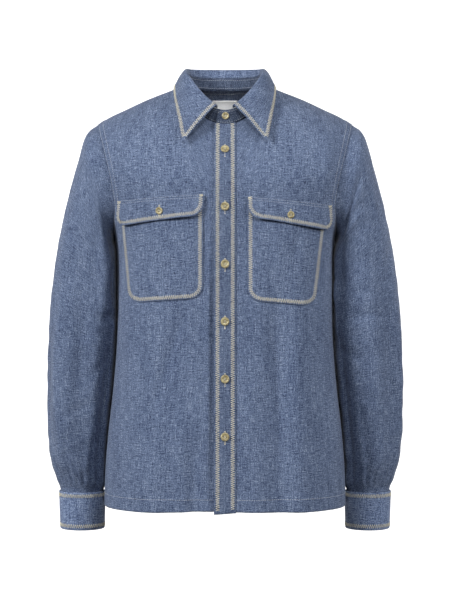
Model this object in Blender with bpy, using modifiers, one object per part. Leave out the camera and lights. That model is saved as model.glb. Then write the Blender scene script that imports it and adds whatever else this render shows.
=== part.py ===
"""A chambray overshirt with a buttoned placket, two flapped chest pockets, a shirt collar and cuffs.

It is filled out as if worn, with nobody inside: every piece of cloth is a thin wall round an open hollow.
Metres, +Z up, the wearer faces -Y. The origin is on the middle line at the height of the neck's side points.
The wearer's left is +X.
"""

import math
from collections import namedtuple

import bpy
from mathutils import Vector

# ---------------------------------------------------------------- driving sizes
MM = 0.001
CLOTH = 1.2 * MM  # one layer of cloth
LINED = 2.0 * MM  # collar, stand and cuffs: two layers and an interlining
GAP = 0.3 * MM  # between neighbours
LABEL_GAP = 1.6 * MM
LABEL_THICK = 0.8 * MM
LABEL_HALF = 0.0215
LABEL_HEIGHTS = (-0.0335, -0.0220, -0.0105)
PATCH_GAP = 0.9 * MM  # under a patch, whose facets don't follow the panel's
FLAP_GAP = PATCH_GAP * 2 + CLOTH + 1.0 * MM  # from the panel to a flap, over its pocket
FLAP_LIFT = 2.0 * MM  # how far a flap's lower edge swells out
HALF_SEAM = GAP * 2 / 3  # how far front and back each keep off the middle plane, along their seams
END_LIFT = LINED + GAP * 4 / 3  # how far the upper end of a cuff or the stand is lifted off the lower one

HEM_Z = -0.703
UNDERARM_Z = -0.250
FRONT_BEND_Z = -0.170  # above this the front leans back to the shoulder
BACK_BEND_Z = -0.130
SHOULDER_X = 0.215  # half the shoulder width, seam to seam
NECK_HALF = 0.067  # half the neckline's width
NECK_SIDE_Z = 0.006
NECK_BACK_Z = 0.003
NECK_PIT_Z = -0.070
SECTION_POWER = 2.8  # how square the body's sections are

PLACKET_HALF = 0.0175
FRONT_LAP = 0.0165  # how far each front runs past the middle
LAP_DROP = 2.2 * MM  # the right front dips this far to pass under the left
LAP_FADE = 0.045  # and is back on the surface this far out
YOKE_Z = -0.098  # where the yoke meets the back
PLACKET_TOP = 2.94  # the level of its upper end, just under the stand
YOKE_LEVELS = [2.012, 2.14, 2.30, 2.48, 2.66, 2.84, 3.0]  # its lower edge just clears the back

BUTTON_R = 7.0 * MM
SMALL_BUTTON_R = 6.0 * MM
BUTTON_H = 2.8 * MM
BUTTON_DISH = 0.8 * MM  # how far its middle is sunk below its rim
FIRST_BUTTON_Z = -0.1155
BUTTON_PITCH = 0.093
PLACKET_BUTTONS = 6

# ---------------------------------------------------------------- tables
# The body's level sections. Above the underarm the half width is the whole shoulder's; the armhole cuts it.
Section = namedtuple("Section", "z half_width front back")
BODY = [
    Section(-0.703, 0.2030, 0.151, 0.147),
    Section(-0.650, 0.2015, 0.150, 0.145),
    Section(-0.585, 0.1965, 0.147, 0.141),
    Section(-0.518, 0.1890, 0.143, 0.136),
    Section(-0.440, 0.1825, 0.140, 0.132),
    Section(-0.348, 0.1810, 0.139, 0.131),
    Section(-0.250, 0.1860, 0.139, 0.133),
    Section(-0.200, 0.2000, 0.139, 0.133),
    Section(-0.166, 0.2100, 0.138, 0.132),
    Section(-0.110, 0.2250, 0.137, 0.129),
    Section(-0.058, 0.2350, 0.136, 0.127),
    Section(0.020, 0.2400, 0.136, 0.127),
]

Armhole = namedtuple("Armhole", "z x")
ARMHOLE = [
    Armhole(-0.2500, 0.1860),
    Armhole(-0.2350, 0.1845),
    Armhole(-0.2000, 0.1815),
    Armhole(-0.1660, 0.1870),
    Armhole(-0.1100, 0.2010),
    Armhole(-0.0622, 0.2150),
]

Ridge = namedtuple("Ridge", "x z")
SHOULDER = [
    Ridge(0.067, 0.0060),
    Ridge(0.090, -0.0035),
    Ridge(0.133, -0.0205),
    Ridge(0.168, -0.0370),
    Ridge(0.199, -0.0520),
    Ridge(0.215, -0.0622),
]
NECK_RISE = 0.006  # the surface that the neckline is cut from rises this much more at the middle

# A sleeve's rings: its outer and inner points as seen from the front, then its middle and half depth
# along Y. Inner points that lie within the body are moved out to its side, which flattens the sleeve.
Ring = namedtuple("Ring", "outer_x outer_z inner_x inner_z middle_y half_depth power")
SLEEVE = [
    Ring(0.2335, -0.0790, 0.1870, -0.2620, 0.000, 0.0865, 2.2),
    Ring(0.2530, -0.1400, 0.1800, -0.2800, 0.000, 0.0815, 2.2),
    Ring(0.2700, -0.2050, 0.1710, -0.3120, 0.000, 0.0760, 2.2),
    Ring(0.2860, -0.2850, 0.1640, -0.3580, 0.000, 0.0710, 2.2),
    Ring(0.2960, -0.3650, 0.1640, -0.4120, 0.001, 0.0670, 2.2),
    Ring(0.3008, -0.4450, 0.1700, -0.4660, 0.003, 0.0630, 2.2),
    Ring(0.3022, -0.5250, 0.1780, -0.5300, 0.006, 0.0590, 2.2),
    Ring(0.3008, -0.5950, 0.1880, -0.5950, 0.010, 0.0540, 2.2),
    Ring(0.2952, -0.6400, 0.1950, -0.6400, 0.013, 0.0495, 2.1),
    Ring(0.2885, -0.6665, 0.1975, -0.6665, 0.015, 0.0440, 2.0),
    Ring(0.2846, -0.6765, 0.2030, -0.6765, 0.016, 0.0400, 2.0),
    Ring(0.2802, -0.6838, 0.2080, -0.6838, 0.016, 0.0368, 2.0),
    Ring(0.2802, -0.6955, 0.2080, -0.6955, 0.016, 0.0368, 2.0),
]
UPPER_STEPS = 17
SLEEVE_CLEAR = 1.8 * MM  # a sleeve hangs against the body, this far off it
SLEEVE_SOFT = 2.5 * MM  # how softly it bends away where it stops touching
SLEEVE_FREE = 0.014  # so far below the underarm it has come clear of the seam

Cuff = namedtuple("Cuff", "z middle_x middle_y half_width half_depth")
CUFF = [
    Cuff(-0.6858, 0.2441, 0.016, 0.0393, 0.0402),
    Cuff(-0.7480, 0.2433, 0.015, 0.0377, 0.0398),
]
CUFF_LAP = 26.0  # degrees that the cuff's ends overlap
CUFF_OPENING = 62.0  # where, in degrees round from the outside towards the back
CUFF_RISE = (300.0, 355.0)  # over these degrees from its start a cuff's upper end comes out over the lower

# The collar leaf from the middle of the back to its front edge. The seam angle is where it leaves the
# stand, the roll is its highest line, and the edge is its lower rim from the front, so far off the body.
Leaf = namedtuple("Leaf", "seam roll_x roll_y roll_z edge_x edge_z clear")
COLLAR = [
    Leaf(180.0, 0.0000, 0.0530, 0.0376, 0.0000, -0.0130, 0.004),
    Leaf(152.0, 0.0318, 0.0472, 0.0370, 0.0440, -0.0125, 0.004),
    Leaf(122.0, 0.0566, 0.0325, 0.0356, 0.0765, -0.0070, 0.004),
    Leaf(96.0, 0.0662, 0.0110, 0.0335, 0.0850, -0.0025, 0.004),
    Leaf(84.0, 0.0662, -0.0165, 0.0275, 0.0845, -0.0110, 0.004),
    Leaf(68.0, 0.0632, -0.0435, 0.0185, 0.0825, -0.0285, 0.004),
    Leaf(52.0, 0.0545, -0.0625, 0.0040, 0.0792, -0.0480, 0.005),
    Leaf(36.0, 0.0408, -0.0765, -0.0150, 0.0750, -0.0700, 0.006),
    Leaf(20.0, 0.0235, -0.0855, -0.0325, 0.0706, -0.0960, 0.008),
    Leaf(12.0, 0.0150, -0.0900, -0.0395, 0.0685, -0.1065, 0.009),
]

# The stand's height and inward lean, round from the front.
Stand = namedtuple("Stand", "angle height lean")
STAND = [
    Stand(0.0, 0.0225, 0.002),
    Stand(45.0, 0.0230, 0.003),
    Stand(90.0, 0.0180, 0.004),
    Stand(180.0, 0.0180, 0.003),
]
STAND_LAP = 12.0  # degrees that each end runs past the middle
STAND_SETTLE = (4.0, 42.0)  # over these degrees past the lap the upper end comes down to the neckline
STAND_BUTTON = (0.6, 0.58)  # its angle, and its share of the stand's height
ROLL_IN = 3 * MM  # how roundly the leaf comes over its roll, inside and outside
ROLL_OUT = 5 * MM
RIM_BOW = 2 * MM  # how far it bows out just above its rim
LEAF_LIFT = GAP * 5  # from the stand's top to the leaf's seam, and more at the front
LEAF_FRONT_LIFT = GAP * 3
NECK_STEP = 8.0  # degrees between the stand's and the leaf's sections, which line up

# The pockets and their flaps as seen from the front, each with its distances from the middle line.
Patch = namedtuple(
    "Patch",
    "name side inner_x outer_x low_outer_x top_inner_z top_outer_z low_inner_z low_outer_z corner",
)
POCKETS = [
    Patch("left_pocket", 1, 0.0367, 0.1637, 0.1467, -0.2110, -0.2230, -0.3608, -0.3703, 0.022),
    Patch("right_pocket", -1, 0.0360, 0.1705, 0.1570, -0.2080, -0.2160, -0.3568, -0.3649, 0.022),
]
FLAPS = [
    Patch("left_flap", 1, 0.0367, 0.1733, 0.1733, -0.1928, -0.2043, -0.2254, -0.2459, 0.021),
    Patch("right_flap", -1, 0.0347, 0.1745, 0.1745, -0.1887, -0.1969, -0.2223, -0.2382, 0.021),
]

CORNER_ROUND = 0.92  # how far up the sides a rounded corner reaches, in corner sizes

PocketButton = namedtuple("PocketButton", "name x z")
POCKET_BUTTONS = [
    PocketButton("left_pocket_button", 0.1053, -0.2215),
    PocketButton("right_pocket_button", -0.1053, -0.2150),
]

# Soft folds of the body: where they run from top to bottom, how wide they are and how far they stand out.
Fold = namedtuple("Fold", "top_x low_x top_z low_z width rise")
FRONT_FOLDS = [
    Fold(-0.036, -0.050, -0.200, -0.760, 0.022, -0.0045),
    Fold(-0.120, -0.132, -0.360, -0.780, 0.040, 0.0055),
    Fold(-0.085, -0.088, -0.330, -0.760, 0.026, -0.0030),
    Fold(0.034, 0.040, -0.190, -0.500, 0.018, -0.0022),
    Fold(0.042, 0.044, -0.340, -0.780, 0.024, 0.0044),
    Fold(0.086, 0.092, -0.330, -0.780, 0.022, -0.0060),
    Fold(0.122, 0.130, -0.360, -0.780, 0.026, 0.0052),
    Fold(0.165, 0.176, -0.060, -0.240, 0.018, 0.0035),
    Fold(-0.160, -0.172, -0.070, -0.230, 0.018, 0.0025),
]
BACK_FOLDS = [
    Fold(0.060, 0.070, -0.220, -0.780, 0.034, 0.0055),
    Fold(-0.050, -0.066, -0.260, -0.780, 0.034, 0.0050),
    Fold(0.006, 0.004, -0.300, -0.780, 0.030, -0.0045),
    Fold(0.125, 0.140, -0.160, -0.700, 0.030, -0.0045),
    Fold(-0.120, -0.136, -0.160, -0.720, 0.030, -0.0050),
]

# Folds of the left sleeve, 1, and the right, -1: angle round it (0 inside, 90 front, 180 outside), where
# they start and end along it.
SleeveFold = namedtuple("SleeveFold", "top_angle low_angle top low width rise")
SLEEVE_FOLDS = {
    1: [
        SleeveFold(50.0, 62.0, 0.06, 0.42, 17.0, -0.0065),
        SleeveFold(96.0, 100.0, 0.20, 0.78, 18.0, 0.0050),
        SleeveFold(130.0, 122.0, 0.38, 0.92, 15.0, -0.0045),
        SleeveFold(154.0, 150.0, 0.45, 0.90, 14.0, 0.0035),
        SleeveFold(46.0, 46.0, 0.34, 1.00, 19.0, -0.0130),
        SleeveFold(228.0, 236.0, 0.10, 0.55, 18.0, -0.0060),
        SleeveFold(265.0, 250.0, 0.42, 0.92, 16.0, 0.0045),
        SleeveFold(300.0, 290.0, 0.50, 0.90, 14.0, -0.0045),
    ],
    -1: [
        SleeveFold(40.0, 46.0, 0.08, 0.44, 15.0, -0.0090),
        SleeveFold(72.0, 66.0, 0.12, 0.44, 13.0, 0.0045),
        SleeveFold(106.0, 80.0, 0.12, 0.90, 14.0, -0.0060),
        SleeveFold(128.0, 118.0, 0.36, 0.92, 14.0, 0.0048),
        SleeveFold(156.0, 152.0, 0.50, 0.92, 12.0, -0.0030),
        SleeveFold(46.0, 46.0, 0.38, 1.00, 19.0, -0.0130),
        SleeveFold(228.0, 236.0, 0.10, 0.55, 18.0, -0.0060),
        SleeveFold(265.0, 250.0, 0.42, 0.92, 16.0, 0.0045),
        SleeveFold(300.0, 290.0, 0.50, 0.90, 14.0, -0.0045),
    ],
}

# Colour, roughness.
CHAMBRAY = ((0.125, 0.165, 0.255, 1.0), 0.92)
HORN = ((0.560, 0.430, 0.240, 1.0), 0.38)
WHITE_TAPE = ((0.800, 0.800, 0.790, 1.0), 0.80)


# ---------------------------------------------------------------- small maths
def smooth_curve(xs, ys, x):
    """A smooth value through a short table, with straight ends."""
    if x <= xs[0]:
        return ys[0]
    if x >= xs[-1]:
        return ys[-1]
    k = max(i for i in range(len(xs) - 1) if xs[i] <= x)
    slopes = [(ys[i + 1] - ys[i]) / (xs[i + 1] - xs[i]) for i in range(len(xs) - 1)]

    def tangent(i):
        if i == 0:
            return slopes[0]
        if i == len(xs) - 1:
            return slopes[-1]
        before, after = xs[i] - xs[i - 1], xs[i + 1] - xs[i]
        return (slopes[i - 1] * after + slopes[i] * before) / (before + after)

    step = xs[k + 1] - xs[k]
    s = (x - xs[k]) / step
    return (
        ys[k] * (1 + 2 * s) * (1 - s) ** 2
        + tangent(k) * step * s * (1 - s) ** 2
        + ys[k + 1] * s * s * (3 - 2 * s)
        + tangent(k + 1) * step * s * s * (s - 1)
    )


def column(rows, across, value, x):
    """The named column of a table at x along another column."""
    rows = sorted(rows, key=lambda row: getattr(row, across))
    return smooth_curve([getattr(r, across) for r in rows], [getattr(r, value) for r in rows], x)


def ease(low, high, x):
    s = min(1.0, max(0.0, (x - low) / (high - low)))
    return s * s * (3 - 2 * s)


def bump(distance, width):
    """1 on a fold's line, fading to 0 at twice its width."""
    return math.exp(-((distance / width) ** 2) * 1.5)


def square_arc(share, power):
    """The far coordinate of a squared-off quarter circle."""
    return max(0.0, 1.0 - min(1.0, share) ** power) ** (1.0 / power)


# ---------------------------------------------------------------- the body's surface
def ridge_z(x):
    """The shoulder line's height. Inside the neckline it is the line that the neck is cut from."""
    x = abs(x)
    if x < NECK_HALF:
        return NECK_SIDE_Z + NECK_RISE * (1 - (x / NECK_HALF) ** 2)
    return column(SHOULDER, "x", "z", x)


def neckline_z(x, front):
    s = min(1.0, abs(x) / NECK_HALF)
    if front:
        return NECK_SIDE_Z + (NECK_PIT_Z - NECK_SIDE_Z) * square_arc(s, 1.9)
    return NECK_SIDE_Z + (NECK_BACK_Z - NECK_SIDE_Z) * square_arc(s, 2.0)


def body_reach(z):
    """How far out the panels run at a height: to the side seam, or to the armhole."""
    if z < UNDERARM_Z:
        return column(BODY, "z", "half_width", z)
    return column(ARMHOLE, "z", "x", z)


def column_x(top_x, z):
    """A column of the cloth is named by its place along the shoulder. It stays upright under the placket."""
    size = abs(top_x)
    if size > PLACKET_HALF:
        spread = (body_reach(z) - PLACKET_HALF) / (SHOULDER_X - PLACKET_HALF)
        size = PLACKET_HALF + (size - PLACKET_HALF) * spread
    return math.copysign(size, top_x)


def bend_power(x, front):
    return 1.30 + 0.45 * min(1.0, abs(x) / 0.20) ** 1.5 if front else 2.2


def fold_rise(x, z, folds):
    total = 0.0
    for f in folds:
        along = (z - f.top_z) / (f.low_z - f.top_z)
        if not -0.25 < along < 1.0:
            continue
        middle = f.top_x + (f.low_x - f.top_x) * along
        total += f.rise * bump(x - middle, f.width) * ease(-0.25, 0.35, along)
    return total


def fold_fade(x, z, front):
    """Folds stop at the placket, at the seams round the armhole and at the shoulder."""
    to_edge = body_reach(z) - abs(x)
    fade = ease(0.0, 0.030, to_edge) * ease(0.0, 0.060, ridge_z(x) - z)
    return fade * (ease(0.021, 0.034, abs(x)) if front else 1.0)


def body_depth(x, z, front):
    """How far the cloth is from the middle plane, before folds."""
    bend_z = FRONT_BEND_Z if front else BACK_BEND_Z
    half_width = column(BODY, "z", "half_width", z)
    depth = column(BODY, "z", "front" if front else "back", z)
    depth *= square_arc(abs(x) / half_width, SECTION_POWER)
    if z > bend_z:
        depth *= square_arc((z - bend_z) / (ridge_z(x) - bend_z), bend_power(x, front))
    return depth


def body_at(x, z, front):
    """The cloth's outer face, as seen from the front or the back at x, z."""
    folds = FRONT_FOLDS if front else BACK_FOLDS
    depth = body_depth(x, z, front) + fold_rise(x, z, folds) * fold_fade(x, z, front) + HALF_SEAM
    return Vector((x, -depth if front else depth, z))


def level_z(top_x, level, front):
    """Level 0 is the hem, 1 the underarm, 2 the chest bend or yoke seam, 3 the shoulder or neckline."""
    bend_z = FRONT_BEND_Z if front else YOKE_Z
    if level <= 1:
        return HEM_Z + (UNDERARM_Z - HEM_Z) * level
    if level <= 2:
        return UNDERARM_Z + (bend_z - UNDERARM_Z) * (level - 1) ** 2
    top_z = neckline_z(top_x, front) if abs(top_x) < NECK_HALF else ridge_z(top_x)
    share = math.sin(math.radians(90 * min(1.0, level - 2)))
    return bend_z + (top_z - bend_z) * share ** (2 / bend_power(top_x, front))


def body_point(top_x, level, front):
    z = level_z(top_x, level, front)
    return body_at(column_x(top_x, z), z, front)


def body_normal(top_x, level, front):
    """Outward, from small steps that stay on the panel."""
    x_low, x_high = max(-SHOULDER_X, top_x - MM), min(SHOULDER_X, top_x + MM)
    l_low, l_high = max(0.0, level - 0.02), min(3.0, level + 0.02)
    across = body_point(x_high, level, front) - body_point(x_low, level, front)
    upward = body_point(top_x, l_high, front) - body_point(top_x, l_low, front)
    normal = across.cross(upward).normalized()
    return normal if front else -normal


def face_normal(x, z, front):
    """Outward at a place seen from the front, for what lies on a panel."""
    step = 2 * MM
    across = body_at(x + step, z, front) - body_at(x - step, z, front)
    upward = body_at(x, z + step, front) - body_at(x, z - step, front)
    normal = across.cross(upward).normalized()
    return normal if front else -normal


# ---------------------------------------------------------------- making solids
def material(name, look):
    found = bpy.data.materials.get(name)
    if found:
        return found
    made = bpy.data.materials.new(name)
    made.use_nodes = True
    shader = made.node_tree.nodes["Principled BSDF"]
    shader.inputs["Base Color"].default_value = look[0]
    shader.inputs["Roughness"].default_value = look[1]
    shader.inputs["Metallic"].default_value = 0.0
    return made


def add_object(name, mesh, look_name, look):
    mesh.materials.append(material(look_name, look))
    made = bpy.data.objects.new(name, mesh)
    SHIRT.objects.link(made)
    return made


def wall(name, outer, inner, closed=False, look_name="chambray", look=CHAMBRAY):
    """A thin wall between two grids of points, rows by columns. A closed one runs round in its columns."""
    rows, columns = len(outer), len(outer[0])
    points = [p for grid in (outer, inner) for row in grid for p in row]
    half = rows * columns

    def index(side, i, j):
        return side * half + i * columns + j % columns

    faces = []
    spans = columns if closed else columns - 1
    for i in range(rows - 1):
        for j in range(spans):
            square = [(i, j), (i, j + 1), (i + 1, j + 1), (i + 1, j)]
            faces.append([index(0, *c) for c in square])
            faces.append([index(1, *c) for c in reversed(square)])
    for j in range(spans):
        faces.append([index(1, 0, j), index(1, 0, j + 1), index(0, 0, j + 1), index(0, 0, j)])
        top = rows - 1
        faces.append([index(0, top, j), index(0, top, j + 1), index(1, top, j + 1), index(1, top, j)])
    if not closed:
        for i in range(rows - 1):
            faces.append([index(0, i, 0), index(0, i + 1, 0), index(1, i + 1, 0), index(1, i, 0)])
            end = columns - 1
            faces.append([index(1, i, end), index(1, i + 1, end), index(0, i + 1, end), index(0, i, end)])
    mesh = bpy.data.meshes.new(name)
    mesh.from_pydata([tuple(p) for p in points], [], faces)
    mesh.update()
    mesh.shade_smooth()
    mesh.set_sharp_from_angle(angle=math.radians(50))
    return add_object(name, mesh, look_name, look)


def grid_normals(grid, closed=False):
    """Unit normals of a grid of points, from its neighbours, to the right of its rows' way."""
    rows, columns = len(grid), len(grid[0])
    made = []
    for i in range(rows):
        line = []
        for j in range(columns):
            if closed:
                before, after = grid[i][(j - 1) % columns], grid[i][(j + 1) % columns]
            else:
                before, after = grid[i][max(0, j - 1)], grid[i][min(columns - 1, j + 1)]
            below, above = grid[max(0, i - 1)][j], grid[min(rows - 1, i + 1)][j]
            line.append((after - before).cross(above - below).normalized())
        made.append(line)
    return made


def moved(grid, normals, distance):
    return [[p + n * distance for p, n in zip(*rows)] for rows in zip(grid, normals)]


# ---------------------------------------------------------------- body panels
def steps(first, last, count):
    return [first + (last - first) * k / count for k in range(count + 1)]


def neck_columns(count):
    """Places along half the neckline, closer together where it turns up to the shoulder."""
    return [NECK_HALF * math.sin(math.pi / 2 * k / count) for k in range(count + 1)]


def shoulder_columns(count):
    """Places from the neck to the armhole, closer together towards it."""
    return [NECK_HALF + (SHOULDER_X - NECK_HALF) * (1 - (1 - k / count) ** 2.2) for k in range(1, count + 1)]


BODY_LEVELS = steps(0, 1, 13) + steps(1, 2, 6)[1:]
BEND_LEVELS = steps(2, 3, 6)[1:]


def body_grids(columns, levels, front, sink=None, out=0.0, thick=CLOTH):
    """Outer and inner grids of a body panel. Sink moves the panel inwards, by place across it."""
    outer, inner = [], []
    for level in levels:
        points = [body_point(x, level, front) for x in columns]
        normals = [body_normal(x, level, front) for x in columns]
        drops = [sink(p.x) if sink else 0.0 for p in points]
        outer.append([p + n * (out - d) for p, n, d in zip(points, normals, drops)])
        inner.append([p + n * (out - d - thick) for p, n, d in zip(points, normals, drops)])
    return outer, inner


def under_lap(x):
    """The right front dips under the left where they cross."""
    return LAP_DROP * (1 - ease(PLACKET_HALF + 1.5 * MM, LAP_FADE, -x))


def make_fronts():
    half = neck_columns(6) + shoulder_columns(10)
    levels = BODY_LEVELS + BEND_LEVELS
    left = [-FRONT_LAP] + half
    wall("left_front", *body_grids(left, levels, True))
    right = [-x for x in reversed(half)] + [FRONT_LAP]
    wall("right_front", *body_grids(right, levels, True, sink=under_lap))


def make_placket():
    columns = steps(-PLACKET_HALF, PLACKET_HALF, 4)
    levels = BODY_LEVELS + BEND_LEVELS[:-1] + [PLACKET_TOP]
    outer, inner = body_grids(columns, levels, True, out=GAP + CLOTH)
    wall("placket", outer, inner)


def make_back():
    half = neck_columns(5)[1:] + shoulder_columns(9)
    columns = [-x for x in reversed(half)] + [0.0] + half
    back_levels = steps(0, 1, 11) + steps(1, 2, 7)[1:]
    # Seen from behind the columns run the other way.
    columns.reverse()
    wall("back", *body_grids(columns, back_levels, False))
    wall("yoke", *body_grids(columns, YOKE_LEVELS, False))


# ---------------------------------------------------------------- sleeves and cuffs
def armhole_loop():
    """The wearer's left armhole from the underarm up the front, over the shoulder and down the back."""
    levels = steps(1, 3, 12)
    up_front = [body_point(SHOULDER_X, level, True) for level in levels]
    down_back = [body_point(SHOULDER_X, level, False) for level in reversed(levels)]
    return up_front[:-1] + down_back[:-1]


def sleeve_ring(ring, count):
    outer = Vector((ring.outer_x, ring.middle_y, ring.outer_z))
    inner = Vector((ring.inner_x, ring.middle_y, ring.inner_z))
    middle, reach = (outer + inner) / 2, (outer - inner) / 2
    points = []
    for k in range(count):
        angle = 2 * math.pi * k / count
        far, deep = -math.cos(angle), math.sin(angle)
        far = math.copysign(abs(far) ** (2 / ring.power), far)
        deep = math.copysign(abs(deep) ** (2 / ring.power), deep)
        points.append(middle + reach * far - Vector((0, ring.half_depth * deep, 0)))
    return points


def hugged(p):
    """Where the sleeve would pass into the body's side, it lies flat against it instead, just clear."""
    depth = column(BODY, "z", "front" if p.y < 0 else "back", p.z)
    below = ease(0.0, SLEEVE_FREE, UNDERARM_Z - p.z)
    if below == 0 or abs(p.y) >= depth:
        return p
    side = column(BODY, "z", "half_width", p.z) * square_arc(abs(p.y) / depth, SECTION_POWER)
    side += SLEEVE_CLEAR * below
    apart = math.hypot(p.x - side, SLEEVE_SOFT * below)
    return Vector(((p.x + side + apart) / 2, p.y, p.z))


def sleeve_grid():
    """Rings of points down the sleeve, from the armhole into the cuff."""
    loop = armhole_loop()
    count = len(loop)
    off_seam = Vector((2 * GAP, 0, -GAP))
    keys = [[p + off_seam for p in loop]] + [sleeve_ring(r, count) for r in SLEEVE]
    places = [0.0]
    for before, after in zip(keys, keys[1:]):
        places.append(places[-1] + sum((b - a).length for a, b in zip(before, after)) / count)
    length = places[-1]
    tail = places[-4:]
    rings = []
    upper = [tail[0] * share**1.3 for share in steps(0, 1, UPPER_STEPS)]
    for place in upper + steps(tail[0], tail[2], 5)[1:] + [tail[3]]:
        ring = [
            Vector([smooth_curve(places, [key[k][axis] for key in keys], place) for axis in range(3)])
            for k in range(count)
        ]
        rings.append((place / length, [hugged(p) for p in ring]))
    return rings


def sleeve_fold(share, angle, side):
    total = 0.0
    for f in SLEEVE_FOLDS[side]:
        along = (share - f.top) / (f.low - f.top)
        if not 0 < along < 1:
            continue
        middle = f.top_angle + (f.low_angle - f.top_angle) * along
        total += f.rise * bump(angle - middle, f.width) * math.sin(math.pi * along) ** 0.7
    return total


def make_sleeves():
    shares, grid = zip(*sleeve_grid())
    normals = [[-n for n in row] for row in grid_normals(grid, closed=True)]
    count = len(grid[0])
    for name, side in (("left_sleeve", 1), ("right_sleeve", -1)):
        outer = []
        for share, ring, ring_normals in zip(shares, grid, normals):
            rises = [sleeve_fold(share, 360.0 * k / count, side) for k in range(count)]
            outer.append([hugged(p + n * rise) for p, n, rise in zip(ring, ring_normals, rises)])
        inner = moved(outer, normals, -CLOTH)
        grids = [[[Vector((p.x * side, p.y, p.z)) for p in row] for row in g] for g in (outer, inner)]
        if side > 0:
            grids = [[list(reversed(row)) for row in g] for g in grids]
        wall(name, *grids, closed=True)


def cuff_point(share, angle, swell):
    """A point of the wearer's left cuff: 0 is outside, 90 the back, and swell moves it out from the axis."""
    top, low = CUFF
    middle = Vector((
        top.middle_x + (low.middle_x - top.middle_x) * share,
        top.middle_y + (low.middle_y - top.middle_y) * share,
        top.z + (low.z - top.z) * share,
    ))
    wide = top.half_width + (low.half_width - top.half_width) * share
    deep = top.half_depth + (low.half_depth - top.half_depth) * share
    turn = math.radians(angle)
    return middle + Vector(((wide + swell) * math.cos(turn), (deep + swell) * math.sin(turn), 0))


def make_cuffs():
    """Each cuff is a band whose ends overlap at the back of the wrist, the upper end outside."""
    start = CUFF_OPENING - CUFF_LAP / 2
    angles = steps(start, start + 360 + CUFF_LAP, 28)
    outer, inner = [], []
    for share in (0.0, 0.35, 0.7, 1.0):
        swells = [END_LIFT * ease(start + CUFF_RISE[0], start + CUFF_RISE[1], a) for a in angles]
        outer.append([cuff_point(share, a, s) for a, s in zip(angles, swells)])
        inner.append([cuff_point(share, a, s - LINED) for a, s in zip(angles, swells)])
    for name, side in (("left_cuff", 1), ("right_cuff", -1)):
        grids = [[[Vector((p.x * side, p.y, p.z)) for p in row] for row in g] for g in (outer, inner)]
        if side > 0:
            grids = [[list(reversed(row)) for row in g] for g in grids]
        wall(name, *grids)


# ---------------------------------------------------------------- collar
def neck_point(angle):
    """The neckline from the middle of the front, 0, by the wearer's left, 90, to the back, 180."""
    turn = math.radians(angle)
    front = math.cos(turn) > 0
    return body_point(NECK_HALF * math.sin(turn), 3.0, front)


def outward(angle):
    """Level and square to the neckline, away from the neck."""
    step = 1.5
    along = neck_point(angle + step) - neck_point(angle - step)
    return Vector((-along.y, along.x, 0)).normalized() * -1


def stand_profile(angle):
    """The stand's height and lean at an angle round the neck."""
    turned = abs((angle + 180) % 360 - 180)
    return column(STAND, "angle", "height", turned), column(STAND, "angle", "lean", turned)


def stand_point(angle, share, swell=0.0):
    """A point of the stand: share 0 is its seam to the body, 1 its seam to the leaf."""
    height, lean = stand_profile(angle)
    base = neck_point(angle) + Vector((0, 0, 2 * GAP))
    return base + Vector((0, 0, height * share)) + outward(angle) * (swell - 2 * GAP - lean * share)


def make_stand():
    """The stand runs from its left end, outside, round the back to its right end, which lies under it."""
    angles = steps(-STAND_LAP, 360 + STAND_LAP, round((360 + 2 * STAND_LAP) / NECK_STEP))
    outer, inner = [], []
    for share in (0.0, 0.5, 1.0):
        # The left end starts on the right of the middle and is lifted clear of the other.
        swells = [END_LIFT * (1 - ease(*(STAND_LAP + s for s in STAND_SETTLE), a)) for a in angles]
        outer.append([stand_point(a, share, s) for a, s in zip(angles, swells)])
        inner.append([stand_point(a, share, s - LINED) for a, s in zip(angles, swells)])
    wall("collar_stand", outer, inner)


def bezier(a, b, c, d, s):
    return a * (1 - s) ** 3 + b * 3 * s * (1 - s) ** 2 + c * 3 * s * s * (1 - s) + d * s**3


def collar_stations():
    """Smooth stations from the middle of the back to the wearer's left front edge."""
    angles = steps(COLLAR[0].seam, COLLAR[-1].seam, round((COLLAR[0].seam - COLLAR[-1].seam) / NECK_STEP))
    return [Leaf(*[column(COLLAR, "seam", name, angle) for name in Leaf._fields]) for angle in angles]


def collar_section(leaf, side):
    """One line across the leaf, from the stand over the roll to the rim."""
    angle = leaf.seam if side > 0 else 360 - leaf.seam
    lift = LEAF_LIFT + LEAF_FRONT_LIFT * ease(60.0, 20.0, leaf.seam)
    seam = stand_point(angle, 1.0, -LINED / 2) + Vector((0, 0, lift))
    roll = Vector((leaf.roll_x * side, leaf.roll_y, leaf.roll_z))
    x, z = leaf.edge_x * side, leaf.edge_z
    front = leaf.seam < 100
    if z > ridge_z(x) - 0.5 * MM:
        rim = Vector((x, roll.y * 0.5, ridge_z(x) + leaf.clear))
    else:
        rim = body_at(x, z, front) + face_normal(x, z, front) * leaf.clear
    out = Vector((rim.x - seam.x, rim.y - seam.y, 0)).normalized()
    rise = max(4 * MM, (roll - seam).length)
    fall = (rim - roll).length
    up = Vector((0, 0, 1))
    inside = [bezier(seam, seam + up * rise * 0.4, roll - out * ROLL_IN, roll, s) for s in (0.0, 0.4, 0.75)]
    drop = (rim - roll).normalized()
    outside = [
        bezier(roll, roll + out * ROLL_OUT, rim - drop * fall * 0.35 + out * RIM_BOW, rim, s)
        for s in (0.0, 0.08, 0.22, 0.42, 0.62, 0.82, 1.0)
    ]
    return inside + outside


def make_collar():
    half = collar_stations()
    right = [collar_section(leaf, -1) for leaf in reversed(half)]
    left = [collar_section(leaf, 1) for leaf in half[1:]]
    rows = [list(row) for row in zip(*right, *left)]
    normals = grid_normals(rows)
    outer = moved(rows, normals, LINED / 2)
    inner = moved(rows, normals, -LINED / 2)
    wall("collar", outer, inner)


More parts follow.
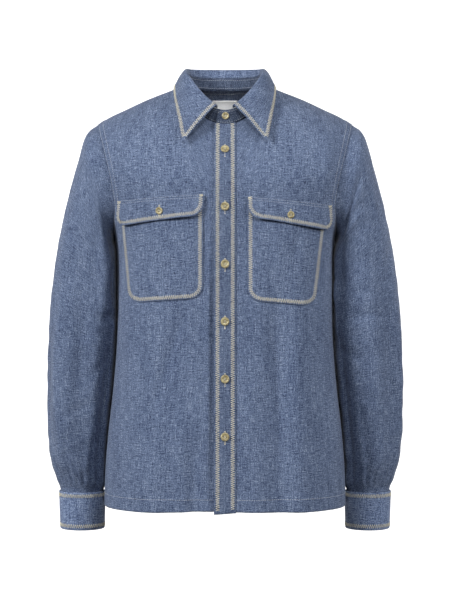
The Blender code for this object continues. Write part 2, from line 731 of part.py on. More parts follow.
# ---------------------------------------------------------------- pockets, flaps, label
def patch_point(patch, across, down):
    """A place on a patch as seen from the front: its lower corners are rounded off."""
    x_low = patch.inner_x + (patch.low_outer_x - patch.inner_x) * across
    x_top = patch.inner_x + (patch.outer_x - patch.inner_x) * across
    top = patch.top_inner_z + (patch.top_outer_z - patch.top_inner_z) * across
    low = patch.low_inner_z + (patch.low_outer_z - patch.low_inner_z) * across
    width = patch.low_outer_x - patch.inner_x
    from_side = min(across, 1 - across) * width
    if from_side < patch.corner:
        short = 1 - from_side / patch.corner
        low += patch.corner * (1 - math.sqrt(1 - short * short)) * CORNER_ROUND
    z = top + (low - top) * down
    straight_low = patch.low_inner_z + (patch.low_outer_z - patch.low_inner_z) * across
    lean = (top - z) / (top - straight_low)
    return x_top + (x_low - x_top) * lean, z


def patch_columns(patch, count):
    """Shares across a patch, closer together in its rounded corners."""
    width = patch.low_outer_x - patch.inner_x
    corner = patch.corner / width
    side = [corner * (1 - math.cos(math.radians(90 * k / 4))) for k in range(4)]
    middle = steps(corner, 1 - corner, count)
    return side + middle + [1 - s for s in reversed(side)]


def patch_grids(patch, rows, clear, lift=0.0):
    """Grids of a patch lying on the front. Lift swells its lower edge away from the body."""
    outer, inner = [], []
    for down in reversed(steps(0, 1, rows)):
        places = [patch_point(patch, across, down) for across in patch_columns(patch, 5)]
        if patch.side < 0:
            places = [(-x, z) for x, z in reversed(places)]
        points = [body_at(x, z, True) for x, z in places]
        normals = [face_normal(x, z, True) for x, z in places]
        off = clear + lift * down**2
        outer.append([p + n * (off + CLOTH) for p, n in zip(points, normals)])
        inner.append([p + n * off for p, n in zip(points, normals)])
    return outer, inner


def make_pockets():
    for pocket in POCKETS:
        wall(pocket.name, *patch_grids(pocket, 9, PATCH_GAP))
    for flap in FLAPS:
        wall(flap.name, *patch_grids(flap, 3, FLAP_GAP, lift=FLAP_LIFT))


def make_label():
    """A bare tape sewn inside the yoke, under the middle of the stand."""
    columns = steps(-LABEL_HALF, LABEL_HALF, 4)
    outer, inner = [], []
    for z in LABEL_HEIGHTS:
        points = [body_at(x, z, False) for x in columns]
        normals = [face_normal(x, z, False) for x in columns]
        outer.append([p - n * (CLOTH + LABEL_GAP) for p, n in zip(points, normals)])
        inner.append([p - n * (CLOTH + LABEL_GAP + LABEL_THICK) for p, n in zip(points, normals)])
    wall("neck_label", inner, outer, look_name="white_tape", look=WHITE_TAPE)


# ---------------------------------------------------------------- buttons
def make_button(name, place, normal, radius):
    """A turned button with a raised rim, its back on the cloth."""
    dish = BUTTON_H - BUTTON_DISH
    profile = [
        (0.0, dish),
        (radius * 0.58, dish),
        (radius * 0.78, BUTTON_H),
        (radius, BUTTON_H * 0.62),
        (radius * 0.82, 0.0),
        (0.0, 0.0),
    ]
    mesh = bpy.data.meshes.new(name)
    points = [(r, 0.0, z) for r, z in profile]
    mesh.from_pydata(points, [(k, k + 1) for k in range(len(points) - 1)], [])
    made = add_object(name, mesh, "horn", HORN)
    turned = made.modifiers.new("Turned", "SCREW")
    turned.axis = "Z"
    turned.steps = turned.render_steps = 12
    turned.use_merge_vertices = True
    turned.merge_threshold = 0.00005
    turned.use_smooth_shade = False
    made.location = place
    made.rotation_mode = "QUATERNION"
    made.rotation_quaternion = normal.to_track_quat("Z", "Y")
    return made


def make_buttons():
    on_placket = CLOTH + GAP * 3
    for k in range(PLACKET_BUTTONS):
        z = FIRST_BUTTON_Z - BUTTON_PITCH * k
        normal = face_normal(0.0, z, True)
        place = body_at(0.0, z, True) + normal * on_placket
        make_button(f"button_{k + 1}", place, normal, BUTTON_R)
    place = stand_point(*STAND_BUTTON, END_LIFT + GAP * 2)
    make_button("collar_button", place, outward(0.0), SMALL_BUTTON_R)
    for button in POCKET_BUTTONS:
        normal = face_normal(button.x, button.z, True)
        off = FLAP_GAP + FLAP_LIFT + CLOTH
        make_button(button.name, body_at(button.x, button.z, True) + normal * off, normal, SMALL_BUTTON_R)
    for name, side in (("left_cuff_button", 1), ("right_cuff_button", -1)):
        place = cuff_point(0.5, CUFF_OPENING, END_LIFT + GAP * 3)
        normal = place - cuff_point(0.5, CUFF_OPENING, 0.0)
        place.x *= side
        normal.x *= side
        make_button(name, place, normal.normalized(), SMALL_BUTTON_R)


# ---------------------------------------------------------------- the whole shirt
for old in list(bpy.data.objects):
    bpy.data.objects.remove(old)
SHIRT = bpy.data.collections.new("chambray_shirt")
bpy.context.scene.collection.children.link(SHIRT)

make_fronts()
make_placket()
make_back()
make_sleeves()
make_cuffs()
make_stand()
make_collar()
make_pockets()
make_label()
make_buttons()
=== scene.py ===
"""The looks of a chambray overshirt: its cloth, folds, seams, stitching, buttons and light.

Metres, +Z up, the wearer faces -Y and their left is +X. The cloth pieces are thin shells on the same surfaces as
the solids, worked out finely, with the creases placed one by one. Every stitch is real geometry.
"""

import math
from collections import namedtuple

import bpy
import numpy as np
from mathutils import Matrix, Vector


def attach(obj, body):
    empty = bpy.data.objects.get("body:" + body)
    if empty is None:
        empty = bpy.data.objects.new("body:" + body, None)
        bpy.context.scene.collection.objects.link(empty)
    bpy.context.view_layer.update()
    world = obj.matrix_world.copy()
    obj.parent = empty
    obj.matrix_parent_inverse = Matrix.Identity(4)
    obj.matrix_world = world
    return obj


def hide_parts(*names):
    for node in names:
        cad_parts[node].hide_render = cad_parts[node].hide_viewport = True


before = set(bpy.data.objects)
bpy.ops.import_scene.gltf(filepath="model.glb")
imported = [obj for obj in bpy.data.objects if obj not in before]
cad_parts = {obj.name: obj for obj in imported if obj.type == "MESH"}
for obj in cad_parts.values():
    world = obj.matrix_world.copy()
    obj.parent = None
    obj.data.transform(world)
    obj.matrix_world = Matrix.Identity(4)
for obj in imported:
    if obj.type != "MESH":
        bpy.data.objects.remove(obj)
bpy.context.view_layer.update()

# ---------------------------------------------------------------- sizes shared with the solids
MM = 0.001
CLOTH = 1.2 * MM
LINED = 2.0 * MM
GAP = 0.3 * MM
HALF_SEAM = GAP * 2 / 3
END_LIFT = LINED + GAP * 4 / 3
HEM_Z = -0.703
UNDERARM_Z = -0.250
FRONT_BEND_Z = -0.170
BACK_BEND_Z = -0.130
SHOULDER_X = 0.215
NECK_HALF = 0.067
NECK_SIDE_Z = 0.006
NECK_BACK_Z = 0.003
NECK_PIT_Z = -0.070
NECK_RISE = 0.006
SECTION_POWER = 2.8
PLACKET_HALF = 0.0175
FRONT_LAP = 0.0165
LAP_DROP = 2.2 * MM
LAP_FADE = 0.045
DEEPER_DROP = 4.2 * MM
YOKE_Z = -0.098
PLACKET_TOP = 2.94
BUTTON_R = 7.0 * MM
SMALL_BUTTON_R = 6.0 * MM
BUTTON_H = 2.8 * MM
FIRST_BUTTON_Z = -0.1155
BUTTON_PITCH = 0.093
PLACKET_BUTTONS = 6
CUFF_LAP = 26.0
CUFF_OPENING = 62.0
STAND_LAP = 12.0
SLEEVE_CLEAR = 1.8 * MM
SLEEVE_SOFT = 2.5 * MM
SLEEVE_FREE = 0.014

# ---------------------------------------------------------------- sizes of the looks
POCKET_ON = 0.4 * MM  # from the front to a pocket
FLAP_ON = POCKET_ON + CLOTH + 0.4 * MM
FLAP_LIFT = 4.6 * MM  # how far a flap's lower edge stands off
POCKET_PUFF = 1.0 * MM
SEAM_BAND = 11.5 * MM  # a felled seam's width and how much thicker it is
SEAM_RISE = 0.8 * MM
HEM_BAND = 21.6 * MM
HEM_RISE = 0.5 * MM
SEAM_PUCKER = 0.16 * MM  # how high the cloth puckers along seams and hem
HEM_PUCKER = 0.20 * MM
HEM_RIPPLE = 12.5 * MM  # from one pucker of the hem to the next
ZIGZAG_WIDTH = 7.2 * MM
ZIGZAG_PITCH = 3.5 * MM  # from one tooth to the next
ZIGZAG_INSET = 5.0 * MM  # from a piece's edge to the middle of the row
COLLAR_INSET = 4.4 * MM
CORD_R = 0.38 * MM  # the zigzag's thread
THREAD_R = 0.30 * MM  # plain topstitching
FINE_R = 0.18 * MM  # the label's
STITCH_LENGTH = 3.0 * MM
STITCH_GAP = 0.8 * MM

# ---------------------------------------------------------------- tables shared with the solids
def table(kind, *rows):
    return [kind(*row) for row in rows]


Section = namedtuple("Section", "z half_width front back")
BODY = table(
    Section,
    (-0.703, 0.2030, 0.151, 0.147),
    (-0.650, 0.2015, 0.150, 0.145),
    (-0.585, 0.1965, 0.147, 0.141),
    (-0.518, 0.1890, 0.143, 0.136),
    (-0.440, 0.1825, 0.140, 0.132),
    (-0.348, 0.1810, 0.139, 0.131),
    (-0.250, 0.1860, 0.139, 0.133),
    (-0.200, 0.2000, 0.139, 0.133),
    (-0.166, 0.2100, 0.138, 0.132),
    (-0.110, 0.2250, 0.137, 0.129),
    (-0.058, 0.2350, 0.136, 0.127),
    (0.020, 0.2400, 0.136, 0.127),
)

Armhole = namedtuple("Armhole", "z x")
ARMHOLE = table(
    Armhole,
    (-0.2500, 0.1860),
    (-0.2350, 0.1845),
    (-0.2000, 0.1815),
    (-0.1660, 0.1870),
    (-0.1100, 0.2010),
    (-0.0622, 0.2150),
)

Ridge = namedtuple("Ridge", "x z")
SHOULDER = table(
    Ridge,
    (0.067, 0.0060),
    (0.090, -0.0035),
    (0.133, -0.0205),
    (0.168, -0.0370),
    (0.199, -0.0520),
    (0.215, -0.0622),
)

Ring = namedtuple("Ring", "outer_x outer_z inner_x inner_z middle_y half_depth power")
SLEEVE = table(
    Ring,
    (0.2335, -0.0790, 0.1870, -0.2620, 0.000, 0.0865, 2.2),
    (0.2530, -0.1400, 0.1800, -0.2800, 0.000, 0.0815, 2.2),
    (0.2700, -0.2050, 0.1710, -0.3120, 0.000, 0.0760, 2.2),
    (0.2860, -0.2850, 0.1640, -0.3580, 0.000, 0.0710, 2.2),
    (0.2960, -0.3650, 0.1640, -0.4120, 0.001, 0.0670, 2.2),
    (0.3008, -0.4450, 0.1700, -0.4660, 0.003, 0.0630, 2.2),
    (0.3022, -0.5250, 0.1780, -0.5300, 0.006, 0.0590, 2.2),
    (0.3008, -0.5950, 0.1880, -0.5950, 0.010, 0.0540, 2.2),
    (0.2952, -0.6400, 0.1950, -0.6400, 0.013, 0.0495, 2.1),
    (0.2866, -0.6640, 0.1982, -0.6640, 0.015, 0.0428, 2.0),
    (0.2830, -0.6750, 0.2022, -0.6765, 0.016, 0.0390, 2.0),
    (0.2806, -0.6840, 0.2076, -0.6846, 0.016, 0.0372, 2.0),
    (0.2802, -0.6955, 0.2080, -0.6955, 0.016, 0.0368, 2.0),
)

Cuff = namedtuple("Cuff", "z middle_x middle_y half_width half_depth")
CUFF = table(
    Cuff,
    (-0.6858, 0.2441, 0.016, 0.0393, 0.0402),
    (-0.7480, 0.2433, 0.015, 0.0377, 0.0398),
)

Leaf = namedtuple("Leaf", "seam roll_x roll_y roll_z edge_x edge_z clear")
COLLAR = table(
    Leaf,
    (180.0, 0.0000, 0.0530, 0.0376, 0.0000, -0.0130, 0.004),
    (152.0, 0.0318, 0.0472, 0.0370, 0.0440, -0.0125, 0.004),
    (122.0, 0.0566, 0.0325, 0.0356, 0.0765, -0.0070, 0.004),
    (96.0, 0.0662, 0.0110, 0.0335, 0.0850, -0.0025, 0.004),
    (84.0, 0.0662, -0.0165, 0.0275, 0.0845, -0.0110, 0.004),
    (68.0, 0.0632, -0.0435, 0.0185, 0.0825, -0.0285, 0.004),
    (52.0, 0.0545, -0.0625, 0.0040, 0.0792, -0.0480, 0.005),
    (36.0, 0.0408, -0.0765, -0.0150, 0.0750, -0.0700, 0.006),
    (20.0, 0.0235, -0.0855, -0.0325, 0.0706, -0.0960, 0.008),
    (12.0, 0.0150, -0.0900, -0.0395, 0.0685, -0.1065, 0.009),
)
ROLL_IN = 3 * MM
ROLL_OUT = 5 * MM
RIM_BOW = 2 * MM
LEAF_LIFT = GAP * 5
LEAF_FRONT_LIFT = GAP * 3

Stand = namedtuple("Stand", "angle height lean")
STAND = table(
    Stand,
    (0.0, 0.0225, 0.002),
    (45.0, 0.0230, 0.003),
    (90.0, 0.0180, 0.004),
    (180.0, 0.0180, 0.003),
)

Patch = namedtuple(
    "Patch",
    "name side inner_x outer_x low_outer_x top_inner_z top_outer_z low_inner_z low_outer_z corner",
)
POCKETS = table(
    Patch,
    ("left_pocket", 1, 0.0367, 0.1637, 0.1467, -0.2110, -0.2230, -0.3608, -0.3703, 0.022),
    ("right_pocket", -1, 0.0360, 0.1705, 0.1570, -0.2080, -0.2160, -0.3568, -0.3649, 0.022),
)
FLAPS = table(
    Patch,
    ("left_flap", 1, 0.0367, 0.1733, 0.1733, -0.1928, -0.2043, -0.2254, -0.2459, 0.021),
    ("right_flap", -1, 0.0347, 0.1745, 0.1745, -0.1887, -0.1969, -0.2223, -0.2382, 0.021),
)

PocketButton = namedtuple("PocketButton", "name x z")
POCKET_BUTTONS = table(
    PocketButton,
    ("left_pocket_button", 0.1053, -0.2215),
    ("right_pocket_button", -0.1053, -0.2150),
)

Fold = namedtuple("Fold", "top_x low_x top_z low_z width rise")
FRONT_FOLDS = table(
    Fold,
    (-0.036, -0.050, -0.200, -0.760, 0.022, -0.0045),
    (-0.120, -0.132, -0.360, -0.780, 0.040, 0.0055),
    (-0.085, -0.088, -0.330, -0.760, 0.026, -0.0030),
    (0.034, 0.040, -0.190, -0.500, 0.018, -0.0022),
    (0.042, 0.044, -0.340, -0.780, 0.024, 0.0044),
    (0.086, 0.092, -0.330, -0.780, 0.022, -0.0060),
    (0.122, 0.130, -0.360, -0.780, 0.026, 0.0052),
    (0.165, 0.176, -0.060, -0.240, 0.018, 0.0035),
    (-0.160, -0.172, -0.070, -0.230, 0.018, 0.0025),
)
BACK_FOLDS = table(
    Fold,
    (0.060, 0.070, -0.220, -0.780, 0.034, 0.0055),
    (-0.050, -0.066, -0.260, -0.780, 0.034, 0.0050),
    (0.006, 0.004, -0.300, -0.780, 0.030, -0.0045),
    (0.125, 0.140, -0.160, -0.700, 0.030, -0.0045),
    (-0.120, -0.136, -0.160, -0.720, 0.030, -0.0050),
)

SleeveFold = namedtuple("SleeveFold", "top_angle low_angle top low width rise")
SLEEVE_FOLDS = {
    1: table(
        SleeveFold,
        (50.0, 62.0, 0.06, 0.42, 17.0, -0.0065),
        (96.0, 100.0, 0.20, 0.78, 18.0, 0.0050),
        (130.0, 122.0, 0.38, 0.92, 15.0, -0.0045),
        (154.0, 150.0, 0.45, 0.90, 14.0, 0.0035),
        (46.0, 46.0, 0.34, 1.00, 19.0, -0.0130),
        (228.0, 236.0, 0.10, 0.55, 18.0, -0.0060),
        (265.0, 250.0, 0.42, 0.92, 16.0, 0.0045),
        (300.0, 290.0, 0.50, 0.90, 14.0, -0.0045),
    ),
    -1: table(
        SleeveFold,
        (40.0, 46.0, 0.08, 0.44, 15.0, -0.0090),
        (72.0, 66.0, 0.12, 0.44, 13.0, 0.0045),
        (106.0, 80.0, 0.12, 0.90, 14.0, -0.0060),
        (128.0, 118.0, 0.36, 0.92, 14.0, 0.0048),
        (156.0, 152.0, 0.50, 0.92, 12.0, -0.0030),
        (46.0, 46.0, 0.38, 1.00, 19.0, -0.0130),
        (228.0, 236.0, 0.10, 0.55, 18.0, -0.0060),
        (265.0, 250.0, 0.42, 0.92, 16.0, 0.0045),
        (300.0, 290.0, 0.50, 0.90, 14.0, -0.0045),
    ),
}

# ---------------------------------------------------------------- creases, placed one by one
# On the body: from one end to the other as seen from the front, how wide, how far out or in, how much it bows to
# one side, and how much steeper one flank is than the other.
Crease = namedtuple("Crease", "x0 z0 x1 z1 width rise bow lean")
FRONT_CREASES = table(
    Crease,
    # below the wearer's right pocket, towards the hem
    (-0.057, -0.355, -0.140, -0.650, 0.014, -0.0036, 0.006, 0.2),
    (-0.070, -0.385, -0.104, -0.500, 0.009, -0.0012, -0.004, 0.0),
    (-0.158, -0.365, -0.150, -0.560, 0.014, 0.0022, 0.004, 0.0),
    (-0.040, -0.400, -0.044, -0.610, 0.014, 0.0026, 0.003, 0.0),
    (-0.074, -0.540, -0.068, -0.740, 0.018, 0.0032, 0.003, 0.0),
    (-0.040, -0.560, -0.050, -0.760, 0.012, -0.0022, 0.002, 0.2),
    (-0.148, -0.600, -0.160, -0.700, 0.010, -0.0010, 0.0, 0.0),
    # below the wearer's left pocket
    (0.038, -0.370, 0.060, -0.470, 0.009, -0.0014, 0.003, 0.2),
    (0.078, -0.400, 0.088, -0.640, 0.009, -0.0020, -0.004, -0.3),
    (0.046, -0.560, 0.042, -0.695, 0.013, -0.0014, 0.003, 0.0),
    (0.120, -0.410, 0.112, -0.600, 0.012, 0.0014, 0.004, 0.0),
    (0.160, -0.520, 0.178, -0.680, 0.012, -0.0013, 0.003, 0.0),
    # chest, drawn from the collar points and the armholes
    (0.044, -0.094, 0.024, -0.178, 0.008, -0.0024, 0.002, 0.0),
    (-0.040, -0.120, -0.028, -0.195, 0.008, -0.0009, 0.002, 0.0),
    (-0.203, -0.072, -0.180, -0.155, 0.006, -0.0018, 0.003, 0.0),
    (-0.196, -0.070, -0.164, -0.122, 0.005, 0.0013, -0.002, 0.0),
    (-0.178, -0.110, -0.172, -0.180, 0.004, -0.0012, 0.001, 0.0),
    (-0.168, -0.105, -0.160, -0.165, 0.004, 0.0009, 0.001, 0.0),
    (0.196, -0.085, 0.170, -0.170, 0.008, 0.0012, 0.003, 0.0),
    (0.120, -0.090, 0.105, -0.180, 0.013, -0.0009, 0.003, 0.0),
    (-0.110, -0.085, -0.120, -0.180, 0.012, 0.0008, 0.003, 0.0),
    (0.182, -0.262, 0.140, -0.380, 0.010, -0.0012, 0.004, 0.0),
    (-0.182, -0.262, -0.168, -0.370, 0.010, -0.0012, -0.004, 0.0),
)
BACK_CREASES = table(
    Crease,
    (0.150, -0.150, 0.070, -0.240, 0.014, -0.0022, 0.008, 0.2),
    (-0.152, -0.145, -0.080, -0.250, 0.014, -0.0024, -0.008, 0.2),
    (0.030, -0.130, 0.046, -0.360, 0.014, 0.0016, 0.004, 0.0),
    (-0.026, -0.120, -0.020, -0.330, 0.013, -0.0014, 0.004, 0.0),
    (0.090, -0.340, 0.108, -0.640, 0.015, -0.0020, 0.006, 0.3),
    (-0.096, -0.380, -0.084, -0.680, 0.014, -0.0018, -0.006, 0.3),
    (0.170, -0.330, 0.120, -0.430, 0.011, 0.0014, 0.004, 0.0),
    (-0.172, -0.350, -0.110, -0.450, 0.012, 0.0015, -0.004, 0.0),
    (-0.020, -0.520, -0.034, -0.695, 0.012, 0.0015, 0.003, 0.0),
    (0.150, -0.520, 0.160, -0.695, 0.013, 0.0016, 0.003, 0.0),
    (-0.165, -0.540, -0.150, -0.695, 0.012, -0.0014, 0.003, 0.0),
)
POCKET_CREASES = table(
    Crease,
    (-0.062, -0.232, -0.067, -0.345, 0.009, -0.0018, 0.002, 0.0),
    (-0.094, -0.296, -0.106, -0.350, 0.007, -0.0014, 0.003, 0.0),
    (-0.120, -0.240, -0.126, -0.320, 0.010, 0.0008, 0.002, 0.0),
    (0.122, -0.245, 0.112, -0.305, 0.009, -0.0014, 0.003, 0.0),
    (0.070, -0.250, 0.082, -0.345, 0.011, -0.0007, 0.003, 0.0),
    (0.086, -0.235, 0.094, -0.330, 0.010, 0.0007, 0.003, 0.0),
)

# On a sleeve: angles round it (0 inside, 90 front, 180 outside) and shares of its length.
SleeveCrease = namedtuple("SleeveCrease", "angle0 share0 angle1 share1 width rise bow lean")
LEFT_SLEEVE_CREASES = table(
    SleeveCrease,
    (30.0, 0.120, 118.0, 0.090, 0.0120, -0.0050, 0.010, 0.3),
    (36.0, 0.165, 104.0, 0.155, 0.0110, 0.0030, 0.008, 0.0),
    (20.0, 0.250, 72.0, 0.330, 0.0100, -0.0026, 0.006, 0.0),
    (128.0, 0.130, 122.0, 0.330, 0.0110, 0.0016, 0.004, 0.0),
    (150.0, 0.300, 118.0, 0.390, 0.0090, -0.0016, 0.004, 0.0),
    (60.0, 0.430, 128.0, 0.480, 0.0100, -0.0020, 0.006, 0.2),
    (28.0, 0.520, 96.0, 0.590, 0.0100, -0.0022, 0.006, 0.0),
    (112.0, 0.620, 150.0, 0.720, 0.0090, -0.0016, 0.004, 0.0),
    (76.0, 0.700, 84.0, 0.930, 0.0090, -0.0022, 0.003, 0.0),
    (138.0, 0.760, 132.0, 0.950, 0.0080, -0.0020, 0.003, 0.0),
    (108.0, 0.800, 106.0, 0.950, 0.0070, 0.0014, 0.002, 0.0),
    (200.0, 0.240, 262.0, 0.320, 0.0120, -0.0028, 0.006, 0.2),
    (190.0, 0.430, 256.0, 0.520, 0.0110, -0.0026, 0.006, 0.2),
    (236.0, 0.560, 300.0, 0.640, 0.0110, -0.0024, 0.006, 0.0),
    (210.0, 0.720, 216.0, 0.950, 0.0090, -0.0020, 0.003, 0.0),
    (330.0, 0.460, 345.0, 0.640, 0.0100, -0.0020, 0.003, 0.0),
)
RIGHT_SLEEVE_CREASES = table(
    SleeveCrease,
    (34.0, 0.140, 66.0, 0.330, 0.0120, 0.0040, 0.006, 0.0),
    (80.0, 0.150, 78.0, 0.420, 0.0110, -0.0034, 0.004, 0.2),
    (24.0, 0.400, 70.0, 0.440, 0.0100, -0.0040, 0.006, 0.2),
    (128.0, 0.200, 132.0, 0.420, 0.0130, 0.0014, 0.004, 0.0),
    (136.0, 0.480, 128.0, 0.800, 0.0120, 0.0024, 0.004, 0.0),
    (96.0, 0.480, 92.0, 0.840, 0.0110, -0.0024, 0.004, 0.0),
    (166.0, 0.560, 160.0, 0.800, 0.0090, -0.0024, 0.003, 0.0),
    (50.0, 0.560, 84.0, 0.640, 0.0090, -0.0018, 0.004, 0.0),
    (112.0, 0.800, 108.0, 0.950, 0.0070, -0.0018, 0.002, 0.0),
    (140.0, 0.820, 142.0, 0.950, 0.0070, -0.0018, 0.002, 0.0),
    (62.0, 0.780, 66.0, 0.950, 0.0080, -0.0020, 0.002, 0.0),
    (204.0, 0.200, 258.0, 0.300, 0.0120, -0.0028, 0.006, 0.2),
    (196.0, 0.460, 262.0, 0.500, 0.0110, -0.0028, 0.006, 0.2),
    (240.0, 0.580, 296.0, 0.680, 0.0110, -0.0022, 0.006, 0.0),
    (222.0, 0.700, 226.0, 0.950, 0.0090, -0.0020, 0.003, 0.0),
    (332.0, 0.480, 342.0, 0.660, 0.0100, -0.0020, 0.003, 0.0),
)


# ---------------------------------------------------------------- small maths, on arrays
def curve(xs, ys, x):
    """A smooth value through a short table, with straight ends. The values may be arrays of points."""
    xs, ys = np.asarray(xs, float), np.asarray(ys, float)
    spans = np.diff(xs)
    wide = spans.reshape((-1,) + (1,) * (ys.ndim - 1))
    slopes = np.diff(ys, axis=0) / wide
    inner = (slopes[:-1] * wide[1:] + slopes[1:] * wide[:-1]) / (wide[:-1] + wide[1:])
    tangents = np.concatenate([slopes[:1], inner, slopes[-1:]])
    x = np.clip(np.asarray(x, float), xs[0], xs[-1])
    k = np.clip(np.searchsorted(xs, x, side="right") - 1, 0, len(xs) - 2)
    step = spans[k]
    s = (x - xs[k]) / step
    more = (1,) * (ys.ndim - 1)
    s, step = s.reshape(s.shape + more), step.reshape(step.shape + more)
    return (
        ys[k] * (1 + 2 * s) * (1 - s) ** 2
        + tangents[k] * step * s * (1 - s) ** 2
        + ys[k + 1] * s * s * (3 - 2 * s)
        + tangents[k + 1] * step * s * s * (s - 1)
    )


def column(rows, across, value, x):
    rows = sorted(rows, key=lambda row: getattr(row, across))
    return curve([getattr(r, across) for r in rows], [getattr(r, value) for r in rows], x)


def ease(low, high, x):
    s = np.clip((np.asarray(x, float) - low) / (high - low), 0.0, 1.0)
    return s * s * (3 - 2 * s)


def bump(distance, width):
    return np.exp(-((distance / width) ** 2) * 1.5)


def square_arc(share, power):
    return np.maximum(0.0, 1.0 - np.clip(share, 0.0, 1.0) ** power) ** (1.0 / power)


def steps(first, last, count):
    return np.linspace(first, last, count + 1)


def mix(a, b, share):
    return a + (b - a) * share


def distances(points, axis=0):
    """Metres from the first point of each line of points, along an axis."""
    spans = np.linalg.norm(np.diff(points, axis=axis), axis=-1)
    return np.concatenate([np.zeros_like(np.take(spans, [0], axis)), np.cumsum(spans, axis=axis)], axis=axis)


def unit(v):
    return v / np.maximum(np.linalg.norm(v, axis=-1, keepdims=True), 1e-12)


def waves(seed, shortest, longest, count=9):
    """A gentle unevenness: a few seeded waves in all directions, of height about 1."""
    rng = np.random.default_rng(seed)
    lengths = np.geomspace(shortest, longest, count)
    turns = rng.uniform(0, math.pi, count)
    phases = rng.uniform(0, 2 * math.pi, count)
    heights = (lengths / longest) ** 0.7
    heights /= np.sqrt((heights**2).sum())

    def height(u, v):
        total = 0.0
        for length, turn, phase, high in zip(lengths, turns, phases, heights):
            total = total + high * np.sin(2 * math.pi * (u * math.cos(turn) + v * math.sin(turn)) / length + phase)
        return total

    return height


FRONT_WAVES = waves(11, 0.022, 0.085)
BACK_WAVES = waves(12, 0.022, 0.085)
PUCKER_WAVES = waves(13, 0.007, 0.016, 6)
SLEEVE_WAVES = {1: waves(14, 0.020, 0.075), -1: waves(15, 0.020, 0.075)}
COLLAR_WAVES = waves(16, 0.020, 0.060)
BODY_WAVE = 0.45 * MM
SLEEVE_WAVE = 0.60 * MM
COLLAR_WAVE = 0.35 * MM


def crease_rise(u, v, creases, wrap=None):
    """The creases' height at u, v, which are metres on the cloth."""
    total = 0.0
    for c in creases:
        du, dv = c[2] - c[0], c[3] - c[1]
        length = math.hypot(du, dv)
        off = u - c[0]
        if wrap:
            off = (off + wrap / 2) % wrap - wrap / 2
        along = (off * du + (v - c[1]) * dv) / length**2
        aside = (off * dv - (v - c[1]) * du) / length
        aside = aside - c.bow * np.sin(math.pi * np.clip(along, 0, 1))
        width = c.width * (1 + c.lean * np.sign(aside))
        ends = ease(-0.08, 0.30, along) * ease(1.08, 0.70, along)
        total = total + c.rise * bump(aside, width) * ends
    return total


# ---------------------------------------------------------------- the body's surface
def ridge_z(x):
    x = np.abs(x)
    inside = NECK_SIDE_Z + NECK_RISE * (1 - (x / NECK_HALF) ** 2)
    return np.where(x < NECK_HALF, inside, column(SHOULDER, "x", "z", x))


def neckline_z(x, front):
    s = np.clip(np.abs(x) / NECK_HALF, 0, 1)
    if front:
        return mix(NECK_SIDE_Z, NECK_PIT_Z, square_arc(s, 1.9))
    return mix(NECK_SIDE_Z, NECK_BACK_Z, square_arc(s, 2.0))


def body_reach(z):
    return np.where(z < UNDERARM_Z, column(BODY, "z", "half_width", z), column(ARMHOLE, "z", "x", z))


def column_x(top_x, z):
    size = np.abs(top_x)
    spread = (body_reach(z) - PLACKET_HALF) / (SHOULDER_X - PLACKET_HALF)
    wide = np.where(size > PLACKET_HALF, PLACKET_HALF + (size - PLACKET_HALF) * spread, size)
    return np.copysign(wide, top_x)


def bend_power(x, front):
    return 1.30 + 0.45 * np.minimum(1.0, np.abs(x) / 0.20) ** 1.5 if front else 2.2 + 0 * x


def fold_rise(x, z, folds):
    total = 0.0
    for f in folds:
        along = (z - f.top_z) / (f.low_z - f.top_z)
        middle = mix(f.top_x, f.low_x, along)
        there = (along > -0.25) & (along < 1.0)
        total = total + np.where(there, f.rise * bump(x - middle, f.width) * ease(-0.25, 0.35, along), 0.0)
    return total


def fold_fade(x, z, front):
    to_edge = body_reach(z) - np.abs(x)
    fade = ease(0.0, 0.030, to_edge) * ease(0.0, 0.060, ridge_z(x) - z)
    return fade * (ease(0.021, 0.034, np.abs(x)) if front else 1.0)


def body_depth(x, z, front):
    bend_z = FRONT_BEND_Z if front else BACK_BEND_Z
    half_width = column(BODY, "z", "half_width", z)
    depth = column(BODY, "z", "front" if front else "back", z)
    depth = depth * square_arc(np.abs(x) / half_width, SECTION_POWER)
    share = np.clip((z - bend_z) / (ridge_z(x) - bend_z), 0.0, 1.0)
    power = bend_power(x, front)
    lean = np.maximum(0.0, 1.0 - share**power) ** (1.0 / power)
    return depth * np.where(z > bend_z, lean, 1.0)


def body_at(x, z, front):
    """The cloth's outer face as seen from the front or the back at x, z, with its folds and creases."""
    x, z = np.broadcast_arrays(np.asarray(x, float), np.asarray(z, float))
    soft = fold_rise(x, z, FRONT_FOLDS if front else BACK_FOLDS)
    soft = soft + crease_rise(x, z, FRONT_CREASES if front else BACK_CREASES)
    soft = soft * fold_fade(x, z, front)
    gentle = (FRONT_WAVES if front else BACK_WAVES)(x, z) * BODY_WAVE
    gentle = gentle * ease(0.0, 0.020, body_reach(z) - np.abs(x)) * ease(0.0, 0.040, ridge_z(x) - z)
    if front:
        gentle = gentle * ease(0.016, 0.030, np.abs(x))
    depth = body_depth(x, z, front) + soft + gentle + HALF_SEAM
    return np.stack([x, -depth if front else depth, z], axis=-1)


def face_normal(x, z, front):
    step = 2 * MM
    across = body_at(x + step, z, front) - body_at(x - step, z, front)
    upward = body_at(x, z + step, front) - body_at(x, z - step, front)
    normal = unit(np.cross(across, upward))
    return normal if front else -normal


def level_z(top_x, level, front):
    """0 is the hem, 1 the underarm, 2 the chest bend or the yoke's seam, 3 the shoulder or neckline."""
    bend_z = FRONT_BEND_Z if front else YOKE_Z
    low = mix(HEM_Z, UNDERARM_Z, level)
    middle = mix(UNDERARM_Z, bend_z, np.clip(level - 1, 0, 1) ** 2)
    top_z = np.where(np.abs(top_x) < NECK_HALF, neckline_z(top_x, front), ridge_z(top_x))
    share = np.sin(math.pi / 2 * np.clip(level - 2, 0, 1))
    high = mix(bend_z, top_z, share ** (2 / bend_power(top_x, front)))
    return np.where(level <= 1, low, np.where(level <= 2, middle, high))


